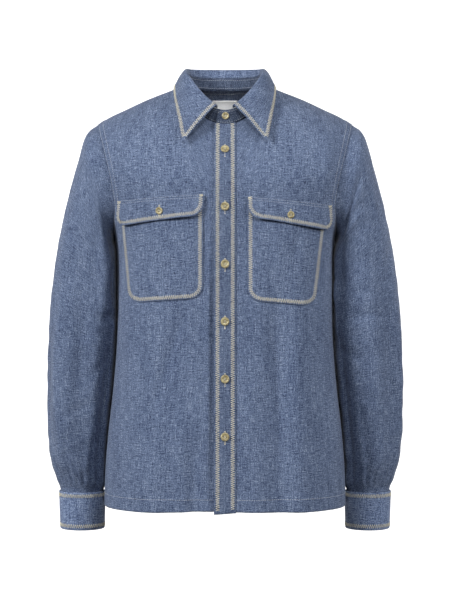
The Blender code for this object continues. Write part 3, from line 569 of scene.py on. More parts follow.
def body_point(top_x, level, front):
    top_x, level = np.broadcast_arrays(np.asarray(top_x, float), np.asarray(level, float))
    z = level_z(top_x, level, front)
    return body_at(column_x(top_x, z), z, front)


# ---------------------------------------------------------------- materials
def new_material(name):
    made = bpy.data.materials.new(name)
    made.use_nodes = True
    return made, made.node_tree, made.node_tree.nodes["Principled BSDF"]


def math_node(tree, kind, a, b):
    node = tree.nodes.new("ShaderNodeMath")
    node.operation = kind
    for socket, value in zip(node.inputs, (a, b)):
        if isinstance(value, (int, float)):
            socket.default_value = value
        else:
            tree.links.new(value, socket)
    return node.outputs[0]


def noise_node(tree, vector, across, along, detail, rough):
    """Noise whose grains are so many metres across and along the cloth."""
    mapping = tree.nodes.new("ShaderNodeMapping")
    mapping.inputs["Scale"].default_value = (1 / across, 1 / along, 1.0)
    tree.links.new(vector, mapping.inputs["Vector"])
    noise = tree.nodes.new("ShaderNodeTexNoise")
    noise.noise_dimensions = "2D"
    noise.inputs["Scale"].default_value = 1.0
    noise.inputs["Detail"].default_value = detail
    noise.inputs["Roughness"].default_value = rough
    tree.links.new(mapping.outputs["Vector"], noise.inputs["Vector"])
    return noise.outputs["Fac"]


def ramp_node(tree, value, stops):
    ramp = tree.nodes.new("ShaderNodeValToRGB")
    while len(ramp.color_ramp.elements) < len(stops):
        ramp.color_ramp.elements.new(0.5)
    for element, (place, colour) in zip(ramp.color_ramp.elements, stops):
        element.position = place
        element.color = (*colour, 1.0)
    tree.links.new(value, ramp.inputs["Fac"])
    return ramp.outputs["Color"]


def set_sockets(shader, **values):
    """Values that are the same all over, by the sockets' names with _ for spaces."""
    for name, value in values.items():
        shader.inputs[name.replace("_", " ")].default_value = value


def bump_node(tree, height, shader, strength, distance):
    made = tree.nodes.new("ShaderNodeBump")
    made.inputs["Strength"].default_value = strength
    made.inputs["Distance"].default_value = distance
    tree.links.new(height, made.inputs["Height"])
    tree.links.new(made.outputs["Normal"], shader.inputs["Normal"])


def cloudy_node(tree, scale, detail, distortion=0.0):
    """Noise through the piece itself, not along its cloth."""
    place = tree.nodes.new("ShaderNodeTexCoord").outputs["Object"]
    mapping = tree.nodes.new("ShaderNodeMapping")
    mapping.inputs["Scale"].default_value = scale
    tree.links.new(place, mapping.inputs["Vector"])
    noise = tree.nodes.new("ShaderNodeTexNoise")
    noise.inputs["Scale"].default_value = 1.0
    noise.inputs["Detail"].default_value = detail
    noise.inputs["Distortion"].default_value = distortion
    tree.links.new(mapping.outputs["Vector"], noise.inputs["Vector"])
    return noise.outputs["Fac"]


def cloth_uv(tree):
    node = tree.nodes.new("ShaderNodeUVMap")
    node.uv_map = "cloth"
    return node.outputs["UV"]


def chambray(name, tone_and_painted_light=1.0):
    """Indigo warp and pale weft: both are streaky, and the eye mixes them."""
    made, tree, shader = new_material(name)
    uv = cloth_uv(tree)
    warp = noise_node(tree, uv, 0.0013, 0.0160, 3.0, 0.62)
    weft = noise_node(tree, uv, 0.0140, 0.0013, 3.0, 0.62)
    grain = noise_node(tree, uv, 0.0019, 0.0019, 1.0, 0.5)
    slub = noise_node(tree, uv, 0.0034, 0.0900, 2.0, 0.6)
    wash = noise_node(tree, uv, 0.0380, 0.1100, 3.0, 0.55)
    mixed = warp
    for noise, much in ((weft, 1.15), (grain, 1.1), (slub, 0.30), (wash, 0.30)):
        more = math_node(tree, "MULTIPLY", noise, much)
        mixed = math_node(tree, "ADD", mixed, more)
    level = tree.nodes.new("ShaderNodeMapRange")
    level.inputs["From Min"].default_value = 1.46
    level.inputs["From Max"].default_value = 2.42
    tree.links.new(mixed, level.inputs["Value"])
    stops = [
        (0.0, (0.018, 0.028, 0.066)),
        (0.30, (0.058, 0.084, 0.156)),
        (0.55, (0.108, 0.146, 0.240)),
        (0.80, (0.172, 0.220, 0.325)),
        (1.0, (0.275, 0.330, 0.435)),
    ]
    # The factor scales every colour of the cloth: on the cuffs it is painted light, on the stand painted shade.
    stops = [(place, tuple(c * tone_and_painted_light for c in colour)) for place, colour in stops]
    tree.links.new(ramp_node(tree, level.outputs["Result"], stops), shader.inputs["Base Color"])
    set_sockets(shader, Roughness=0.90, Specular_IOR_Level=0.25, Sheen_Weight=0.10, Sheen_Roughness=0.50)
    bump_node(tree, mixed, shader, 0.55, 0.5 * MM)
    return made


def thread_material(name, dark, light):
    made, tree, shader = new_material(name)
    noise = cloudy_node(tree, (900.0, 900.0, 900.0), 2.0)
    stops = [(0.30, dark), (0.70, light)]
    tree.links.new(ramp_node(tree, noise, stops), shader.inputs["Base Color"])
    set_sockets(shader, Roughness=0.75, Specular_IOR_Level=0.30, Sheen_Weight=0.15)
    bump_node(tree, noise, shader, 0.4, 0.2 * MM)
    return made


def horn_material():
    """Pale, cloudy horn with brown streaks."""
    made, tree, shader = new_material("horn_button")
    noise = cloudy_node(tree, (160.0, 160.0, 420.0), 4.0, 1.4)
    stops = [
        (0.30, (0.110, 0.078, 0.030)),
        (0.44, (0.255, 0.212, 0.105)),
        (0.58, (0.420, 0.368, 0.205)),
        (0.78, (0.600, 0.555, 0.370)),
    ]
    tree.links.new(ramp_node(tree, noise, stops), shader.inputs["Base Color"])
    set_sockets(shader, Roughness=0.32, Coat_Weight=0.25, Coat_Roughness=0.20)
    bump_node(tree, noise, shader, 0.12, 0.2 * MM)
    return made


def tape_material():
    """White woven tape: fine ribs across and a little shading of the yarn."""
    made, tree, shader = new_material("white_tape")
    yarn = noise_node(tree, cloth_uv(tree), 0.0040, 0.0006, 2.0, 0.5)
    stops = [(0.30, (0.780, 0.785, 0.790)), (0.70, (0.880, 0.882, 0.885))]
    tree.links.new(ramp_node(tree, yarn, stops), shader.inputs["Base Color"])
    set_sockets(shader, Roughness=0.70, Sheen_Weight=0.10)
    bump_node(tree, yarn, shader, 0.4, 0.2 * MM)
    return made


CHAMBRAY = chambray("chambray_cloth")
LINED_CHAMBRAY = chambray("chambray_lined", 0.97)
PLACKET_CHAMBRAY = chambray("chambray_placket", 0.86)
# Painted light: the cuffs' cloth has its colours raised by 1.38, to lift the shade the lamps leave on the cuffs.
CUFF_CHAMBRAY_PAINTED_LIGHT = chambray("chambray_cuff", 1.38)
# Painted shade: the stand's cloth has its colours halved, for the shadow its front lies in between the collar's
# points.
STAND_CHAMBRAY_PAINTED_SHADE = chambray("chambray_stand", 0.50)
ECRU = thread_material("ecru_cord", (0.500, 0.465, 0.360), (0.720, 0.685, 0.570))
TONAL = thread_material("tonal_thread", (0.250, 0.280, 0.335), (0.390, 0.420, 0.475))
PALE = thread_material("pale_thread", (0.360, 0.385, 0.420), (0.540, 0.560, 0.590))
HORN = horn_material()
TAPE = tape_material()


# ---------------------------------------------------------------- shells
def new_mesh(name, points, faces):
    mesh = bpy.data.meshes.new(name)
    mesh.from_pydata(points, [], faces)
    return mesh


def new_object(name, data):
    made = bpy.data.objects.new(name, data)
    bpy.context.scene.collection.objects.link(made)
    return made


def add_piece(name, mesh, look):
    mesh.materials.append(look)
    return new_object(name, mesh)


def grid_normals(grid, closed=False):
    """Unit normals of a grid of points, rows by columns, from its neighbours."""
    if closed:
        across = np.roll(grid, -1, axis=1) - np.roll(grid, 1, axis=1)
    else:
        across = np.gradient(grid, axis=1)
    upward = np.gradient(grid, axis=0)
    return unit(np.cross(across, upward))


def arc_lengths(grid, closed):
    """Metres along the rows and up the columns, as the cloth's own coordinates."""
    u = distances(grid, 1)
    u -= u.mean(axis=1, keepdims=True)
    v = distances(grid).mean(axis=1)
    if closed:
        last = np.linalg.norm(grid[:, 0] - grid[:, -1], axis=-1)
        u = np.concatenate([u, u[:, -1:] + last[:, None]], axis=1)
    return np.stack([u, np.broadcast_to(v[:, None], u.shape)], axis=-1)


EDGE_ROUND = 0.4  # how far a rounded edge stands out, as a share of the thickness


def shell(name, outer, inner, look, closed=False):
    """A thin wall between two grids of points, with rounded edges and the cloth's coordinates in metres."""
    rows, columns = outer.shape[:2]
    half = rows * columns
    wrap = np.arange(columns + (1 if closed else 0)) % columns
    outer_at = np.arange(half).reshape(rows, columns)[:, wrap]
    inner_at = outer_at + half
    uv = arc_lengths(outer, closed)
    middle = (outer + inner) / 2
    thick = np.linalg.norm(outer - inner, axis=-1, keepdims=True) * EDGE_ROUND
    away = np.zeros_like(middle)
    away[0] += unit(middle[0] - middle[1])
    away[-1] += unit(middle[-1] - middle[-2])
    edge = np.zeros((rows, columns), bool)
    edge[[0, -1]] = True
    if not closed:
        away[:, 0] += unit(middle[:, 0] - middle[:, 1])
        away[:, -1] += unit(middle[:, -1] - middle[:, -2])
        edge[:, [0, -1]] = True
    rim = (middle + away * thick)[edge]
    rim_at = np.full((rows, columns), -1)
    rim_at[edge] = 2 * half + np.arange(len(rim))
    rim_at = rim_at[:, wrap]
    points = np.concatenate([outer.reshape(-1, 3), inner.reshape(-1, 3), rim])

    faces, corners = [], []

    def squares(grid):
        return grid[:-1, :-1], grid[:-1, 1:], grid[1:, 1:], grid[1:, :-1]

    def strip(indices, places):
        indices, places = np.stack(indices), np.stack(places)
        faces.append(np.stack(squares(indices), -1).reshape(-1, 4))
        corners.append(np.stack(squares(places), -2).reshape(-1, 4, 2))

    strip(list(outer_at), list(uv))
    strip(list(inner_at)[::-1], list(uv)[::-1])
    strip([inner_at[0], rim_at[0], outer_at[0]], [uv[0]] * 3)
    strip([outer_at[-1], rim_at[-1], inner_at[-1]], [uv[-1]] * 3)
    if not closed:
        strip([outer_at[:, 0], rim_at[:, 0], inner_at[:, 0]], [uv[:, 0]] * 3)
        strip([inner_at[:, -1], rim_at[:, -1], outer_at[:, -1]], [uv[:, -1]] * 3)
    faces, corners = np.concatenate(faces), np.concatenate(corners)

    mesh = new_mesh(name, points.tolist(), faces.tolist())
    mesh.uv_layers.new(name="cloth").data.foreach_set("uv", corners.reshape(-1).astype(np.float32))
    mesh.shade_smooth()
    return add_piece(name, mesh, look)


Cloth = namedtuple("Cloth", "piece outer inner normals")
CLOTHS = {}


def cloth(node, outer, inner, normals, look=CHAMBRAY, closed=False):
    """A shell that stands for a node. Its grids are kept, because the stitching follows them."""
    piece = shell(f"{node}_cloth", outer, inner, look, closed)
    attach(piece, "root")
    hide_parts(node)
    CLOTHS[node] = Cloth(piece, outer, inner, normals)


# ---------------------------------------------------------------- body panels
def neck_columns(count):
    return NECK_HALF * np.sin(math.pi / 2 * np.arange(count + 1) / count)


def shoulder_columns(count):
    share = np.arange(1, count + 1) / count
    return NECK_HALF + (SHOULDER_X - NECK_HALF) * (1 - (1 - share) ** 1.5)


BODY_LEVELS = np.concatenate([steps(0, 1, 150), steps(1, 2, 30)[1:]])
BEND_LEVELS = steps(2, 3, 60)[1:]
HALF_FRONT = np.concatenate([neck_columns(30), shoulder_columns(56)])


def panel_detail(x, z, front):
    """What sewing does to a panel: thicker seams and hem, and puckers along them."""
    to_edge = body_reach(z) - np.abs(x)
    seam = SEAM_RISE * ease(SEAM_BAND * 1.12, SEAM_BAND * 0.92, to_edge)
    pucker = PUCKER_WAVES(x, z)
    seam = seam + SEAM_PUCKER * pucker * bump(to_edge - SEAM_BAND * 0.7, 0.008)
    from_hem = z - HEM_Z
    hem = HEM_RISE * ease(HEM_BAND * 1.06, HEM_BAND * 0.96, from_hem)
    ripple = np.sin(2 * math.pi * (x + 0.35 * from_hem) / HEM_RIPPLE + 1.5 * PUCKER_WAVES(z * 0.2, x))
    hem = hem + HEM_PUCKER * ripple * ease(HEM_BAND * 1.5, HEM_BAND * 0.8, from_hem)
    if front:
        hem = hem * ease(PLACKET_HALF - 1 * MM, PLACKET_HALF + 3 * MM, np.abs(x))
    return np.maximum(seam, hem)


def body_panel(node, columns, levels, front, sink=None, short=0.0):
    points = body_point(columns[None, :], levels[:, None], front)
    normals = grid_normals(points)
    points[..., 2] += hem_lift(points[..., 0], points[..., 2], short)
    if sink is not None:
        points = points - normals * sink(points[..., 0], points[..., 2])[..., None]
    x, z = points[..., 0], points[..., 2]
    detail = panel_detail(x, z - hem_lift(x, z, short), front)
    outer = points + normals * detail[..., None]
    inner = points - normals * CLOTH
    cloth(node, outer, inner, normals)


def under_lap(x, z):
    """The right front dips under the left, and deeper below the pockets, where the placket stands off it."""
    deeper = DEEPER_DROP * ease(-0.260, -0.400, z) * ease(-0.735, -0.650, z)
    near = 1 - ease(PLACKET_HALF + 1.5 * MM, LAP_FADE, -x)
    spread = 0.031 + 0.014 * ease(-0.520, -0.680, z)
    return LAP_DROP * near + deeper * (1 - ease(PLACKET_HALF + 1.5 * MM, spread, -x))


def hem_lift(x, z, rise):
    """The fronts' corners hang a little short beside the placket."""
    return rise * ease(-0.560, HEM_Z, z) * (1 - ease(0.030, 0.110, np.abs(x)))


def make_fronts():
    levels = np.concatenate([BODY_LEVELS, BEND_LEVELS])
    left = np.concatenate([steps(-FRONT_LAP, 0, 6)[:-1], HALF_FRONT])
    body_panel("left_front", left, levels, True, short=1.5 * MM)
    body_panel("right_front", -left[::-1], levels, True, sink=under_lap, short=2.4 * MM)


PLACKET_SAG = 2.1 * MM  # how much lower the placket's free edge hangs at the hem


def make_placket():
    columns = steps(-PLACKET_HALF, PLACKET_HALF, 28)
    levels = np.concatenate([BODY_LEVELS, BEND_LEVELS[BEND_LEVELS < PLACKET_TOP], [PLACKET_TOP]])
    points = body_point(columns[None, :], levels[:, None], True)
    normals = grid_normals(points)
    x, z = points[..., 0], points[..., 2]
    between = 0.18 * MM * np.cos(math.pi * np.clip(x / (PLACKET_HALF - ZIGZAG_INSET), -1, 1))
    ripple = 0.12 * MM * PUCKER_WAVES(x * 0.6, z)
    points[..., 2] -= PLACKET_SAG * ease(-0.600, HEM_Z, z) * ease(PLACKET_HALF, -PLACKET_HALF, x)
    outer = points + normals * (GAP + CLOTH + between + ripple)[..., None]
    inner = points + normals * GAP
    cloth("placket", outer, inner, normals, PLACKET_CHAMBRAY)


def make_back():
    half = np.concatenate([neck_columns(24)[1:], shoulder_columns(50)])
    columns = np.concatenate([-half[::-1], [0.0], half])[::-1]
    back_levels = np.concatenate([steps(0, 1, 150), steps(1, 2, 54)[1:]])
    body_panel("back", columns, back_levels, False)
    yoke_levels = np.concatenate([[2.004], steps(2, 3, 44)[1:]])
    body_panel("yoke", columns, yoke_levels, False)


# ---------------------------------------------------------------- sleeves and cuffs
RING_POINTS = 150
SLEEVE_ROWS = 176
TAIL_ROWS = 12  # over the last three rings, where the sleeve goes into its cuff
SLEEVE_ARC = 0.40  # metres round a sleeve, roughly, for its creases
GATHER = 0.8 * MM  # above the cuff
CAP_PUCKER = 0.25 * MM  # at the armhole
BLOUSE = 1.2 * MM  # how far a sleeve swells over its cuff


def sleeve_keys():
    levels = steps(1, 3, RING_POINTS // 2)
    up_front = body_point(SHOULDER_X, levels, True)
    down_back = body_point(SHOULDER_X, levels[::-1], False)
    keys = [np.concatenate([up_front[:-1], down_back[:-1]]) + np.array((2 * GAP, 0, -GAP))]
    angle = 2 * math.pi * np.arange(RING_POINTS) / RING_POINTS
    for ring in SLEEVE:
        outer = np.array((ring.outer_x, ring.middle_y, ring.outer_z))
        inner = np.array((ring.inner_x, ring.middle_y, ring.inner_z))
        far, deep = -np.cos(angle), np.sin(angle)
        far = np.copysign(np.abs(far) ** (2 / ring.power), far)
        deep = np.copysign(np.abs(deep) ** (2 / ring.power), deep)
        middle = (outer + inner) / 2 + (outer - inner) / 2 * far[:, None]
        keys.append(middle - np.array((0, ring.half_depth, 0)) * deep[:, None])
    return np.array(keys)


def sleeve_rise(share, angle, side):
    total = 0.0
    for f in SLEEVE_FOLDS[side]:
        along = (share - f.top) / (f.low - f.top)
        middle = mix(f.top_angle, f.low_angle, along)
        soft = np.sin(math.pi * np.clip(along, 0, 1)) ** 0.7
        total = total + f.rise * bump(angle - middle, f.width) * soft
    return total


def hugged(points):
    """Where the sleeve would pass into the body's side, it lies flat against it instead, just clear."""
    x, y, z = points[..., 0], points[..., 1], points[..., 2]
    depth = np.where(y < 0, column(BODY, "z", "front", z), column(BODY, "z", "back", z))
    side = column(BODY, "z", "half_width", z) * square_arc(np.abs(y) / depth, SECTION_POWER)
    below = ease(0.0, SLEEVE_FREE, UNDERARM_Z - z)
    side = side + SLEEVE_CLEAR * below
    apart = np.hypot(x - side, SLEEVE_SOFT * below)
    near = (below > 0) & (np.abs(y) < depth)
    return np.stack([np.where(near, (x + side + apart) / 2, x), y, z], axis=-1)


def make_sleeve(node, side, creases):
    keys = sleeve_keys()
    places = distances(keys).mean(axis=1)
    length = places[-1]
    tail = places[-4]
    spots = np.concatenate([tail * steps(0, 1, SLEEVE_ROWS) ** 1.06, steps(tail, length, TAIL_ROWS)[1:]])
    grid = hugged(curve(places, keys, spots))
    share = (spots / length)[:, None]
    angle = (360.0 * np.arange(RING_POINTS) / RING_POINTS)[None, :]
    per_degree = SLEEVE_ARC / 360
    in_metres = [
        Crease(c.angle0 * per_degree, c.share0 * length, c.angle1 * per_degree, c.share1 * length, *c[4:])
        for c in creases
    ]
    u, v = np.broadcast_arrays(angle * per_degree, share * length)
    loose = ease(0.0, 0.05, share) * ease(0.965, 0.93, share)
    rise = sleeve_rise(share, angle, side) * ease(0.0, 0.03, share)
    rise = rise + crease_rise(u, v, in_metres, SLEEVE_ARC) * loose
    turn = np.radians(angle)
    round_waves = SLEEVE_WAVES[side](np.sin(turn) * 0.064, v + 0.03 * np.cos(turn))
    rise = rise + round_waves * SLEEVE_WAVE * loose
    # small gathers where the sleeve goes into the cuff, and puckers at the armhole
    gathers = np.sin(turn * 26 + 2.2 * np.sin(turn * 3))
    rise = rise + GATHER * gathers * ease(0.86, 0.945, share) * ease(0.962, 0.950, share)
    puckers = np.sin(turn * 38 + 3.0 * np.sin(turn * 2))
    rise = rise + CAP_PUCKER * puckers * ease(0.0, 0.006, share) * ease(0.06, 0.012, share)
    # it swells a little over the cuff, most on the inner side
    blouse = ease(0.915, 0.945, share) * ease(0.968, 0.958, share)
    rise = rise + BLOUSE * blouse * (0.35 + 0.65 * np.cos(turn / 2) ** 2)
    # the felled seam under the arm
    from_seam = np.minimum(angle, 360 - angle) * per_degree
    rise = rise + SEAM_RISE * 0.8 * ease(SEAM_BAND * 0.62, SEAM_BAND * 0.48, from_seam) * loose
    normals = -grid_normals(grid, closed=True)
    outer = hugged(grid + normals * rise[..., None])
    normals = -grid_normals(outer, closed=True)
    inner = outer - normals * CLOTH
    # rows run up from the cuff, and round so that the faces look outwards
    flip = (slice(None, None, -1), slice(None, None, side))
    outer, inner, normals = ((g * np.array((side, 1, 1)))[flip] for g in (outer, inner, normals))
    cloth(node, outer, inner, normals, closed=True)


def cuff_point(share, angle, swell):
    top, low = CUFF
    share, angle, swell = np.broadcast_arrays(share, angle, swell)

    def between(name):
        return mix(getattr(top, name), getattr(low, name), share)

    turn = np.radians(angle)
    x = between("middle_x") + (between("half_width") + swell) * np.cos(turn)
    y = between("middle_y") + (between("half_depth") + swell) * np.sin(turn)
    return np.stack([x, y, between("z") + 0 * x], axis=-1)


CUFF_RAMP = (300, 355)  # degrees round a cuff over which it climbs onto its own start
STAND_RAMP = (4, 42)


def make_cuff(node, side):
    start = CUFF_OPENING - CUFF_LAP / 2
    angle = steps(start, start + 360 + CUFF_LAP, 190)[None, :]
    share = steps(1, 0, 26)[:, None]
    swell = END_LIFT * ease(start + CUFF_RAMP[0], start + CUFF_RAMP[1], angle)
    pucker = 0.10 * MM * PUCKER_WAVES(angle * 0.0007, share * 0.06)
    swell = swell + pucker + 0.25 * MM * np.sin(math.pi * share)
    outer = cuff_point(share, angle, swell)
    inner = cuff_point(share, angle, swell - LINED)
    mirror = np.array((side, 1, 1))
    outer, inner = outer * mirror, inner * mirror
    if side < 0:
        outer, inner = outer[:, ::-1], inner[:, ::-1]
    # The cuff is clad in the cloth with painted light.
    cloth(node, outer, inner, grid_normals(outer), CUFF_CHAMBRAY_PAINTED_LIGHT)


# ---------------------------------------------------------------- collar
def neck_point(angle):
    turn = np.radians(np.asarray(angle, float))
    top_x = NECK_HALF * np.sin(turn)
    level = np.full_like(turn, 3.0)
    front = body_point(top_x, level, True)
    back = body_point(top_x, level, False)
    return np.where(np.cos(turn)[..., None] > 0, front, back)


def outward(angle):
    step = 1.5
    along = neck_point(angle + step) - neck_point(angle - step)
    return -unit(np.stack([-along[..., 1], along[..., 0], 0 * along[..., 0]], axis=-1))


def stand_point(angle, share, swell=0.0):
    angle, share, swell = np.broadcast_arrays(*(np.asarray(a, float) for a in (angle, share, swell)))
    turned = np.abs((angle + 180) % 360 - 180)
    height = column(STAND, "angle", "height", turned)
    lean = column(STAND, "angle", "lean", turned)
    base = neck_point(angle)
    base = base + np.stack([0 * height, 0 * height, 2 * GAP + height * share], axis=-1)
    return base + outward(angle) * (swell - 2 * GAP - lean * share)[..., None]


STAND_CORNER = 9.0  # degrees over which the stand's ends round off
STAND_ROUND = 0.42


def make_stand():
    angle = steps(-STAND_LAP, 360 + STAND_LAP, 300)
    from_end = np.minimum(angle + STAND_LAP, 360 + STAND_LAP - angle)
    short = np.clip(1 - from_end / STAND_CORNER, 0, 1)
    top = 1 - STAND_ROUND * (1 - np.sqrt(1 - short**2))
    share = steps(0, 1, 12)[:, None] * top[None, :]
    swell = END_LIFT * (1 - ease(STAND_LAP + STAND_RAMP[0], STAND_LAP + STAND_RAMP[1], angle))[None, :]
    angle = angle[None, :]
    outer = stand_point(angle, share, swell)
    inner = stand_point(angle, share, swell - LINED)
    # The stand is clad in the cloth with painted shade.
    cloth("collar_stand", outer, inner, grid_normals(outer), STAND_CHAMBRAY_PAINTED_SHADE)


def bezier(a, b, c, d, s):
    return a * (1 - s) ** 3 + b * 3 * s * (1 - s) ** 2 + c * 3 * s * s * (1 - s) + d * s**3


def collar_section(leaf, side):
    angle = leaf.seam if side > 0 else 360 - leaf.seam
    lift = LEAF_LIFT + LEAF_FRONT_LIFT * float(ease(60.0, 20.0, leaf.seam))
    seam = stand_point(angle, 1.0, -LINED / 2) + np.array((0, 0, lift))
    roll = np.array((leaf.roll_x * side, leaf.roll_y, leaf.roll_z))
    x, z = leaf.edge_x * side, leaf.edge_z
    front = leaf.seam < 100
    ridge = float(ridge_z(x))
    if z > ridge - 0.5 * MM:
        rim = np.array((x, roll[1] * 0.5, ridge + leaf.clear))
    else:
        rim = body_at(x, z, front) + face_normal(x, z, front) * leaf.clear
    out = unit(np.array((rim[0] - seam[0], rim[1] - seam[1], 0)))
    rise = max(4 * MM, np.linalg.norm(roll - seam))
    fall = np.linalg.norm(rim - roll)
    up = np.array((0, 0, 1))
    inside = [bezier(seam, seam + up * rise * 0.4, roll - out * ROLL_IN, roll, s) for s in steps(0, 1, 8)[:-1]]
    drop = unit(rim - roll)
    shares = steps(0, 1, 26) ** 1.35
    bowed = rim - drop * fall * 0.35 + out * RIM_BOW
    outside = [bezier(roll, roll + out * ROLL_OUT, bowed, rim, s) for s in shares]
    return inside + outside


def collar_grid():
    stations = steps(COLLAR[0].seam, COLLAR[-1].seam, 88)
    leaves = [Leaf(*[float(column(COLLAR, "seam", name, a)) for name in Leaf._fields]) for a in stations]
    right = [collar_section(leaf, -1) for leaf in reversed(leaves)]
    left = [collar_section(leaf, 1) for leaf in leaves[1:]]
    return np.array(right + left).transpose(1, 0, 2)


def smoothed(grid, rounds):
    """Evens a grid out along its rows, keeping its ends."""
    for _ in range(rounds):
        grid[:, 1:-1] = grid[:, 1:-1] * 0.5 + (grid[:, 2:] + grid[:, :-2]) * 0.25
    return grid


def make_collar():
    rows = smoothed(collar_grid(), 6)
    normals = grid_normals(rows)
    uneven = COLLAR_WAVES(rows[..., 0] * 1.3, rows[..., 2] - rows[..., 1]) * COLLAR_WAVE
    down = np.linspace(0, 1, len(rows))[:, None]
    rows = rows + normals * (uneven * ease(0.35, 0.6, down))[..., None]
    outer = rows + normals * LINED / 2
    inner = rows - normals * LINED / 2
    cloth("collar", outer, inner, normals, LINED_CHAMBRAY)


# ---------------------------------------------------------------- pockets, flaps, label
CORNER_ROUND = 0.92  # how much of a quarter circle a patch's lower corner is
BUTTON_HOLDS = 0.45  # how much of a flap's lift its button takes away


def edges_z(patch, across):
    """The heights of a patch's upper and lower edges, were the lower one straight."""
    top = mix(patch.top_inner_z, patch.top_outer_z, across)
    return top, mix(patch.low_inner_z, patch.low_outer_z, across)


def patch_point(patch, across, down):
    """A place on a patch as seen from the front. Its lower corners are rounded off."""
    across, down = np.broadcast_arrays(np.asarray(across, float), np.asarray(down, float))
    x_low = mix(patch.inner_x, patch.low_outer_x, across)
    x_top = mix(patch.inner_x, patch.outer_x, across)
    top, straight = edges_z(patch, across)
    from_side = np.minimum(across, 1 - across) * (patch.low_outer_x - patch.inner_x)
    short = np.clip(1 - from_side / patch.corner, 0, 1)
    low = straight + patch.corner * (1 - np.sqrt(1 - short * short)) * CORNER_ROUND
    z = mix(top, low, down)
    lean = (top - z) / (top - straight)
    return mix(x_top, x_low, lean), z, lean


def patch_columns(patch):
    corner = patch.corner / (patch.low_outer_x - patch.inner_x)
    side = corner * (1 - np.cos(np.radians(90 * np.arange(12) / 12)))
    return np.concatenate([side, steps(corner, 1 - corner, 34), 1 - side[::-1]])


def on_front(x, z, off):
    """A place so far off the front's surface, and the way out there."""
    normal = face_normal(x, z, True)
    return body_at(x, z, True) + normal * np.asarray(off)[..., None], normal


def patch_off(patch, x, z, across, down):
    """How far a pocket or flap stands off the front. Down is 1 on its lower edge, were that straight."""
    if patch in POCKETS:
        off = POCKET_ON + POCKET_PUFF * np.sin(math.pi * across) * np.sin(math.pi * np.clip(down, 0, 1) ** 0.8)
        return off + crease_rise(x, z, POCKET_CREASES) * ease(0, 0.14, across) * ease(1, 0.86, across)
    button = next(b for b in POCKET_BUTTONS if b.name == patch.name.replace("flap", "pocket_button"))
    held = 1 - BUTTON_HOLDS * bump(np.abs(x) - abs(button.x), 0.030)
    wavy = 1 + 0.22 * np.sin(across * 9.0 + patch.side) + 0.10 * np.sin(across * 23.0)
    return FLAP_ON + FLAP_LIFT * down**1.5 * held * wavy + 0.5 * MM * np.sin(math.pi * across)


def make_patch(patch, rows):
    across, down = np.meshgrid(patch_columns(patch), steps(1, 0, rows))
    x, z, lean = patch_point(patch, across, down)
    x = x * patch.side
    off = patch_off(patch, x, z, across, lean)
    inner, normals = on_front(x, z, off)
    ripple = 0.10 * MM * PUCKER_WAVES(x, z)
    outer = inner + normals * (CLOTH + ripple)[..., None]
    if patch.side < 0:
        outer, inner, normals = outer[:, ::-1], inner[:, ::-1], normals[:, ::-1]
    cloth(patch.name, outer, inner, normals)


LABEL_X, LABEL_TOP, LABEL_LOW = 0.0215, -0.0105, -0.0335
LABEL_OFF = CLOTH + 1.0 * MM
TAPE_THICK = 0.7 * MM


def make_label():
    """A bare tape sewn inside the yoke, under the middle of the stand."""
    x, z = np.meshgrid(steps(LABEL_X, -LABEL_X, 40), steps(LABEL_LOW, LABEL_TOP, 22))
    normals = face_normal(x, z, False)
    bow = 0.5 * MM * np.sin((x / LABEL_X + 1) * 2.2) * (LABEL_TOP - z) / (LABEL_TOP - LABEL_LOW)
    near = body_at(x, z, False) - normals * (LABEL_OFF + bow)[..., None]
    far = near - normals * TAPE_THICK
    piece = shell("neck_label_tape", near, far, TAPE)
    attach(piece, "root")
    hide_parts("neck_label")
    CLOTHS["neck_label"] = Cloth(piece, far, near, -normals)


# ---------------------------------------------------------------- threads
def resampled(points, normals, spots):
    """Points and normals at distances along a line."""
    along = distances(points)
    at = np.stack([np.interp(spots, along, points[:, k]) for k in range(3)], axis=-1)
    out = unit(np.stack([np.interp(spots, along, normals[:, k]) for k in range(3)], axis=-1))
    return at, out


def line_length(points):
    return float(distances(points)[-1])


def tube(points, normals, radius, sides=5, flat=0.8):
    """Vertices and faces of a closed thread along a line that lies on cloth. Its ends are pinched."""
    tangents = unit(np.gradient(points, axis=0))
    aside = unit(np.cross(normals, tangents))
    out = unit(np.cross(tangents, aside))
    radii = np.full(len(points), radius)
    radii[[0, -1]] *= 0.45
    turn = 2 * math.pi * np.arange(sides) / sides
    ring = np.cos(turn)[None, :, None] * aside[:, None] + flat * np.sin(turn)[None, :, None] * out[:, None]
    verts = (points[:, None] + ring * radii[:, None, None]).reshape(-1, 3)
    at = np.arange(len(points) * sides).reshape(len(points), sides)
    nxt = np.roll(at, -1, axis=1)
    faces = np.stack([at[:-1], nxt[:-1], nxt[1:], at[1:]], axis=-1).reshape(-1, 4).tolist()
    return verts, [list(at[0][::-1])] + faces + [list(at[-1])]


def thread_piece(name, tubes, look):
    """One piece from many threads."""
    points, faces, start = [], [], 0
    for verts, made in tubes:
        points.append(verts)
        faces.extend([[int(i) + start for i in face] for face in made])
        start += len(verts)
    mesh = new_mesh(name, np.concatenate(points).tolist(), faces)
    mesh.shade_smooth()
    piece = add_piece(name, mesh, look)
    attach(piece, "root")


